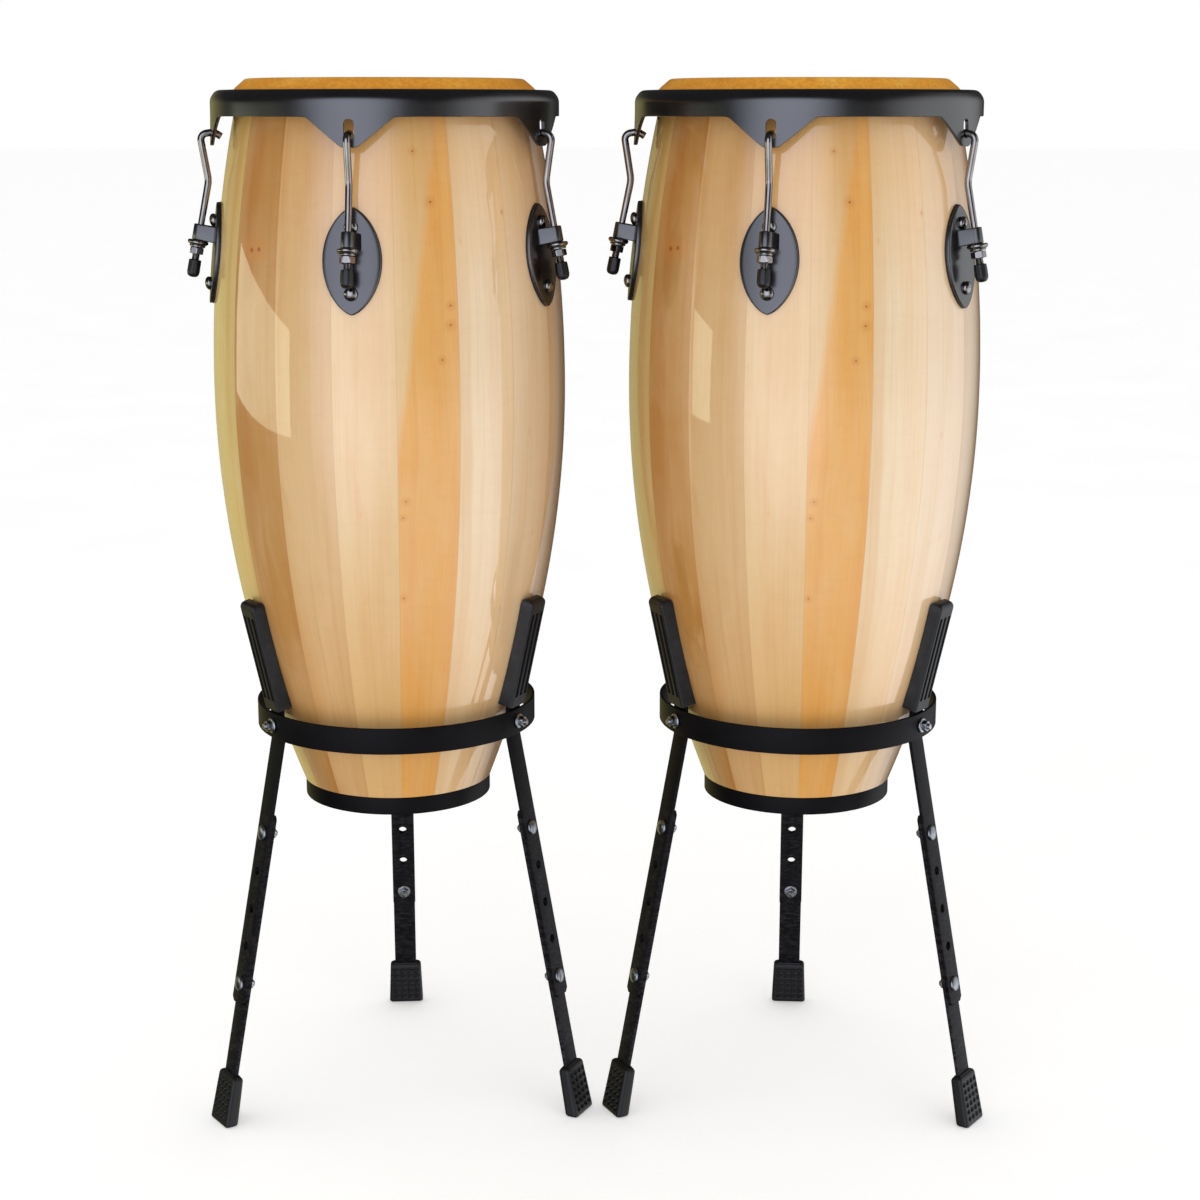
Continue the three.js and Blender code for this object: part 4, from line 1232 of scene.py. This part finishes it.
def boot_mesh():
    """A rubber foot: a rounded block, dimpled on its broad faces, cut flat where it stands."""
    sole = ARM_BEND_FOOT_Z / math.cos(LEG_LEAN)
    out = -BAR_THICKNESS - LEG_STEP
    round_top = 0.0045
    round_foot = 0.0028
    round_edge = 0.0034
    dimples = [(x * 0.0079, y) for x in (-1.5, -0.5, 0.5, 1.5) for y in spaced(0.0085, 0.0435, 6)]
    heights = [BOOT_HEIGHT - round_top * (1 - math.cos(a)) for a in spaced(0, math.pi / 2, 7)]
    lower = [round_foot * (1 - math.cos(a)) for a in spaced(0, math.pi / 2, 6)]
    levels = lower[:-1] + spaced(round_foot, BOOT_HEIGHT - round_top, 62) + heights[-2::-1]

    def pressed(across, height):
        nearest = min(math.hypot((across - x) / 1.3, height - y) for x, y in dimples)
        return 0.0019 * (1 - smooth(0.0015, 0.0026, nearest))

    rows = []
    for height in levels:
        share = height / BOOT_HEIGHT
        half_w = BOOT_HALF_WIDTHS[0] + (BOOT_HALF_WIDTHS[1] - BOOT_HALF_WIDTHS[0]) * share
        half_d = BOOT_HALF_DEPTHS[0] + (BOOT_HALF_DEPTHS[1] - BOOT_HALF_DEPTHS[0]) * share
        over = max(height - (BOOT_HEIGHT - round_top), 0) / round_top
        under = max(round_foot - height, 0) / round_foot
        shrink = round_top * (1 - math.sqrt(max(1 - over**2, 0)))
        shrink += round_foot * (1 - math.sqrt(max(1 - under**2, 0)))
        half_w -= shrink
        half_d -= min(shrink, half_d * 0.4)
        edge = min(round_edge, half_d * 0.5)
        flat_w, flat_d = half_w - edge, half_d - edge
        turns = [(edge * math.cos(a), edge * math.sin(a)) for a in spaced(0.3, 1.27, 4)]
        half_round = [(x, -half_d) for x in spaced(-flat_w, flat_w, 60)]
        half_round += [(flat_w + sine, -flat_d - cosine) for cosine, sine in turns]
        half_round += [(half_w, y) for y in spaced(-flat_d, flat_d, 5)]
        half_round += [(flat_w + cosine, flat_d + sine) for cosine, sine in turns]
        row = []
        for across, depth in half_round + [(-x, -y) for x, y in half_round]:
            if abs(depth) == half_d:
                depth -= math.copysign(pressed(across, height), depth)
            spot = leg_point(sole - height, out + depth)
            # The foot of the boot is sheared so that the sole lies flat on the floor
            rise = (out + depth) * LEG_OUT.y * max(1 - height / 0.03, 0)
            row.append(radial(spot.x, max(spot.y - rise, 0.0), across))
        rows.append(row)
    shape = Shape().grid(rows, close_columns=True)
    return shape.cap(rows[0], flip=True).cap(rows[-1]).mesh("rubber_boot", sharp=50)


# ---- Assembly ----


def drum_pieces(side, shapes, looks):
    here = turned_about(side, DRUM_TURN[side])
    drum, rim, band = f"{side}_drum", f"{side}_rim_assembly", f"{side}_bottom_ring"
    place(f"{side}_stave_shell", shapes["shell"], looks["wood"], here, drum, "shell_wood", f"{side}_shell")
    place(f"{side}_foot_band", shapes["foot_band"], looks["matt"], here, drum, "black_steel", band)
    place(f"{side}_rolled_rim", shapes["rim"], looks["black"], here, rim, "black_steel", f"{side}_rim")
    place(f"{side}_lapped_ring", shapes["flesh_ring"], looks["hide"], here, rim, "hide", f"{side}_flesh_ring")
    head(side, shapes["head"], looks["hide"], here)
    for i in range(LUG_COUNT):
        there = turned_about(side, DRUM_TURN[side] + lug_azimuth(i))
        lug, hook, nut = (f"{side}_{kind}_{i + 1}" for kind in ("lug", "tuning_hook", "tuning_nut"))
        turning = f"{side}_nut_{i + 1}"
        place(f"{lug}_plate", shapes["lug_plate"], looks["black"], there, drum, "black_steel", lug)
        place(f"{lug}_gasket", shapes["gasket"], looks["rubber"], there, drum, "rubber", lug)
        place(f"{lug}_fittings", shapes["fittings"], looks["chrome"], there, drum, "chrome", lug)
        place(f"{hook}_rod", shapes["hook"], looks["chrome"], there, rim, "chrome", hook)
        place(f"{hook}_cap", shapes["rod_cap"], looks["cap"], there, rim, "rubber", hook)
        place(f"{nut}_hex", shapes["nut"], looks["chrome"], there, turning, "chrome", nut)


def head(side, mesh, material, here):
    """The hide, put in place on its drum with the turn baked into its mesh."""
    piece = bpy.data.objects.new(f"{side}_hide", mesh.copy())
    bpy.context.scene.collection.objects.link(piece)
    piece.data.materials.append(material)
    piece.matrix_world = here
    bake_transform(piece)
    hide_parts(f"{side}_head")


def stand_pieces(side, shapes, looks):
    here = turned_about(side, STAND_TURN[side])
    stand, ring = f"{side}_stand", f"{side}_stand_ring"
    place(f"{side}_cradle_ring", shapes["cradle_ring"], looks["matt"], here, stand, "black_steel", ring)
    for i, azimuth in enumerate(LEG_AZIMUTHS, 1):
        there = turned_about(side, STAND_TURN[side] + azimuth)
        leg, node = f"{side}_leg_{i}", f"{side}_sliding_leg_{i}"
        arm, pad = f"{side}_stand_arm_{i}", f"{side}_cradle_pad_{i}"
        place(f"{arm}_bar", shapes["arm"], looks["matt"], there, stand, "black_steel", arm)
        place(f"{arm}_bolts", shapes["arm_bolts"], looks["zinc"], there, stand, "zinc", arm)
        place(f"{pad}_sleeve", shapes["pad"], looks["rubber"], there, stand, "rubber", pad)
        place(f"{node}_bar", shapes["leg"], looks["matt"], there, leg, "black_steel", node)
        place(f"{node}_nuts", shapes["leg_nuts"], looks["zinc"], there, leg, "zinc", node)
        place(f"{node}_boot", shapes["boot"], looks["boot"], there, leg, "rubber", node)


def build():
    looks = {
        "wood": wood_material(),
        "bare": bare_wood_material(),
        "hide": hide_material(),
        "black": powder_coat_material("black_gloss_coat", (srgb(8, 8, 11), srgb(13, 13, 17)), 0.2, 1.0),
        "matt": powder_coat_material("black_matt_coat", (srgb(9, 9, 12), srgb(14, 13, 17)), 0.42, 0.08),
        "chrome": chrome_material(),
        "zinc": zinc_material(),
        "rubber": rubber_material(),
        "cap": rubber_material("smooth_rubber", gloss=0.26),
        "boot": rubber_material("boot_rubber", srgb(6, 6, 8), srgb(13, 13, 16), 0.4),
    }
    shapes = {
        "shell": shell_mesh(looks["wood"], looks["bare"]),
        "head": head_mesh(),
        "flesh_ring": flesh_ring_mesh(),
        "rim": rim_mesh(),
        "foot_band": foot_band_mesh(),
        "lug_plate": lug_plate_mesh(),
        "gasket": plate_mesh("gasket", PLATE_HALF_HEIGHT, PLATE_HALF_WIDTH, 0.0003, GASKET_DEPTH, 0.0003),
        "fittings": lug_fittings_mesh(),
        "hook": hook_mesh(),
        "rod_cap": rod_cap_mesh(),
        "nut": tuning_nut_mesh(),
        "cradle_ring": cradle_ring_mesh(),
        "arm": arm_mesh(),
        "arm_bolts": arm_bolts_mesh(),
        "pad": pad_mesh(),
        "leg": leg_mesh(),
        "leg_nuts": leg_nuts_mesh(),
        "boot": boot_mesh(),
    }
    for side in SIDES:
        drum_pieces(side, shapes, looks)
        stand_pieces(side, shapes, looks)


# ---- Floor, light and camera ----

CAMERA_DISTANCE = 2.3
CAMERA_HEIGHT = 1.014
CAMERA_PITCH = math.radians(12.1)
CAMERA_ASIDE = 0.003
CAMERA_LENS = 68.7


def floor():
    shape = Shape()
    sides, rings = 96, (0.01, 0.5, 1.2, 3, 8, 20, 60)
    rows = [circle(r, 0.0, sides) for r in rings]
    shape.grid(rows, close_columns=True).cap(rows[0])
    mesh = shape.mesh("floor")
    m = Nodes("pale_floor")
    mottle = m.noise(m.place(), scale=3, detail=3)
    m.set(Base_Color=m.ramp(mottle, (0.3, srgb(243, 243, 243)), (0.7, srgb(247, 247, 247))))
    m.shader.inputs["Roughness"].default_value = 0.8
    m.shader.inputs["Emission Color"].default_value = (1, 1, 1, 1)
    m.shader.inputs["Emission Strength"].default_value = 0.3
    mesh.materials.append(m.material)
    plane = bpy.data.objects.new("floor", mesh)
    bpy.context.scene.collection.objects.link(plane)
    plane.location.z = -0.0002
    plane.visible_glossy = False


def area_light(name, place_at, target, width, height, brightness, colour=(1, 1, 1), roll=0.0):
    """A soft panel whose own brightness is given; it isn't seen itself, only by its light."""
    data = bpy.data.lights.new(name, "AREA")
    data.shape = "RECTANGLE"
    data.size = width
    data.size_y = height
    data.energy = brightness * math.pi * width * height
    data.color = colour
    light = bpy.data.objects.new(name, data)
    facing = (Vector(target) - Vector(place_at)).to_track_quat("-Z", "Y")
    facing = facing.to_matrix().to_4x4() @ Matrix.Rotation(math.radians(roll), 4, "Z")
    light.matrix_world = Matrix.Translation(place_at) @ facing
    light.visible_camera = False
    bpy.context.scene.collection.objects.link(light)
    return light


class World(Tree):
    """The world, and short ways to shade it by the direction that is looked in."""

    def __init__(self):
        self.world = bpy.data.worlds.new("studio")
        self.world.use_nodes = True
        super().__init__(self.world.node_tree)
        self.view = self.add("ShaderNodeTexCoord").outputs["Generated"]

    def along(self, direction, low, high):
        """0 to 1 as the view's share of a direction goes from low to high."""
        share = self.add("ShaderNodeVectorMath", {0: self.view, 1: direction}, operation="DOT_PRODUCT")
        inputs = {"Value": share.outputs["Value"], "From Min": low, "From Max": high}
        return self.add("ShaderNodeMapRange", inputs, interpolation_type="SMOOTHSTEP").outputs["Result"]

    def plus(self, light, share, colour, brightness):
        """The light with a patch of a colour added where the share is above 0."""
        patch = self.mix(share, (0, 0, 0, 1), (*(brightness * c for c in colour), 1))
        return self.mix(1.0, light, patch, "ADD")


# Brightness of what reflections see: the dark room, the wall of light and its core, and two glows
ROOM = 0.04
WALL = 0.65
WALL_CORE = 1.9
LEFT_GLOW = 0.5
RIGHT_GLOW = 1.0

# Brightness of the plain surround that lights the pieces
SURROUND = 0.8


def studio_world():
    """A white surround for the camera and a plain pale one for the light it gives. Reflections
    see a darker room with one broad soft wall of light behind the camera and tinted patches."""
    w = World()
    below = w.along((0, 0, 1), -0.75, -0.5)
    above = w.along((0, 0, -1), 0.0, 0.2)
    front = w.along((0.5, -0.87, 0), -0.4, 0.5)
    wall = w.add("ShaderNodeMath", {0: below, 1: above}, operation="MULTIPLY").outputs[0]
    wall = w.add("ShaderNodeMath", {0: wall, 1: front}, operation="MULTIPLY").outputs[0]
    core = w.along((-0.31, -0.94, 0.12), 0.76, 1.0)
    left = w.along((-0.45, 0.82, -0.35), 0.78, 0.97)
    right = w.along((0.98, 0.1, -0.15), 0.5, 0.95)
    reflected = w.plus((ROOM, ROOM, ROOM, 1), wall, (1, 1, 1), WALL)
    reflected = w.plus(reflected, core, (0.88, 0.93, 1.12), WALL_CORE)
    reflected = w.plus(reflected, left, (1.0, 0.9, 0.35), LEFT_GLOW)
    reflected = w.plus(reflected, right, (0.95, 0.97, 1.0), RIGHT_GLOW)
    rays = w.add("ShaderNodeLightPath")
    level = w.mix(rays.outputs["Is Glossy Ray"], (SURROUND, SURROUND, SURROUND, 1), reflected)
    seen = w.mix(rays.outputs["Is Camera Ray"], level, (1, 1, 1, 1))
    w.put(w.tree.nodes["Background"].inputs["Color"], seen)
    bpy.context.scene.world = w.world


def lights():
    studio_world()
    area_light("key", (-0.4, -2.5, 1.35), (0, 0, 0.78), 1.6, 1.0, 0.8).visible_glossy = False
    area_light("fill", (1.5, -2.0, 1.0), (0, 0, 0.8), 1.2, 1.0, 0.95).visible_glossy = False
    area_light("window", (-2.1, -0.25, 0.66), (0, -0.25, 0.66), 1.7, 0.48, 1.8, (0.95, 1.0, 0.75), roll=-7)


def camera():
    data = bpy.data.cameras.new("camera")
    data.lens = CAMERA_LENS
    data.clip_end = 200
    view = bpy.data.objects.new("camera", data)
    middle = (drum_axis("left") + drum_axis("right")) / 2
    view.location = (middle.x + CAMERA_ASIDE, middle.y - CAMERA_DISTANCE, CAMERA_HEIGHT)
    view.rotation_euler = (math.pi / 2 - CAMERA_PITCH, 0, 0)
    bpy.context.scene.collection.objects.link(view)
    bpy.context.scene.camera = view
    bpy.context.scene.view_settings.view_transform = "Standard"


camera()
build()
floor()
lights()
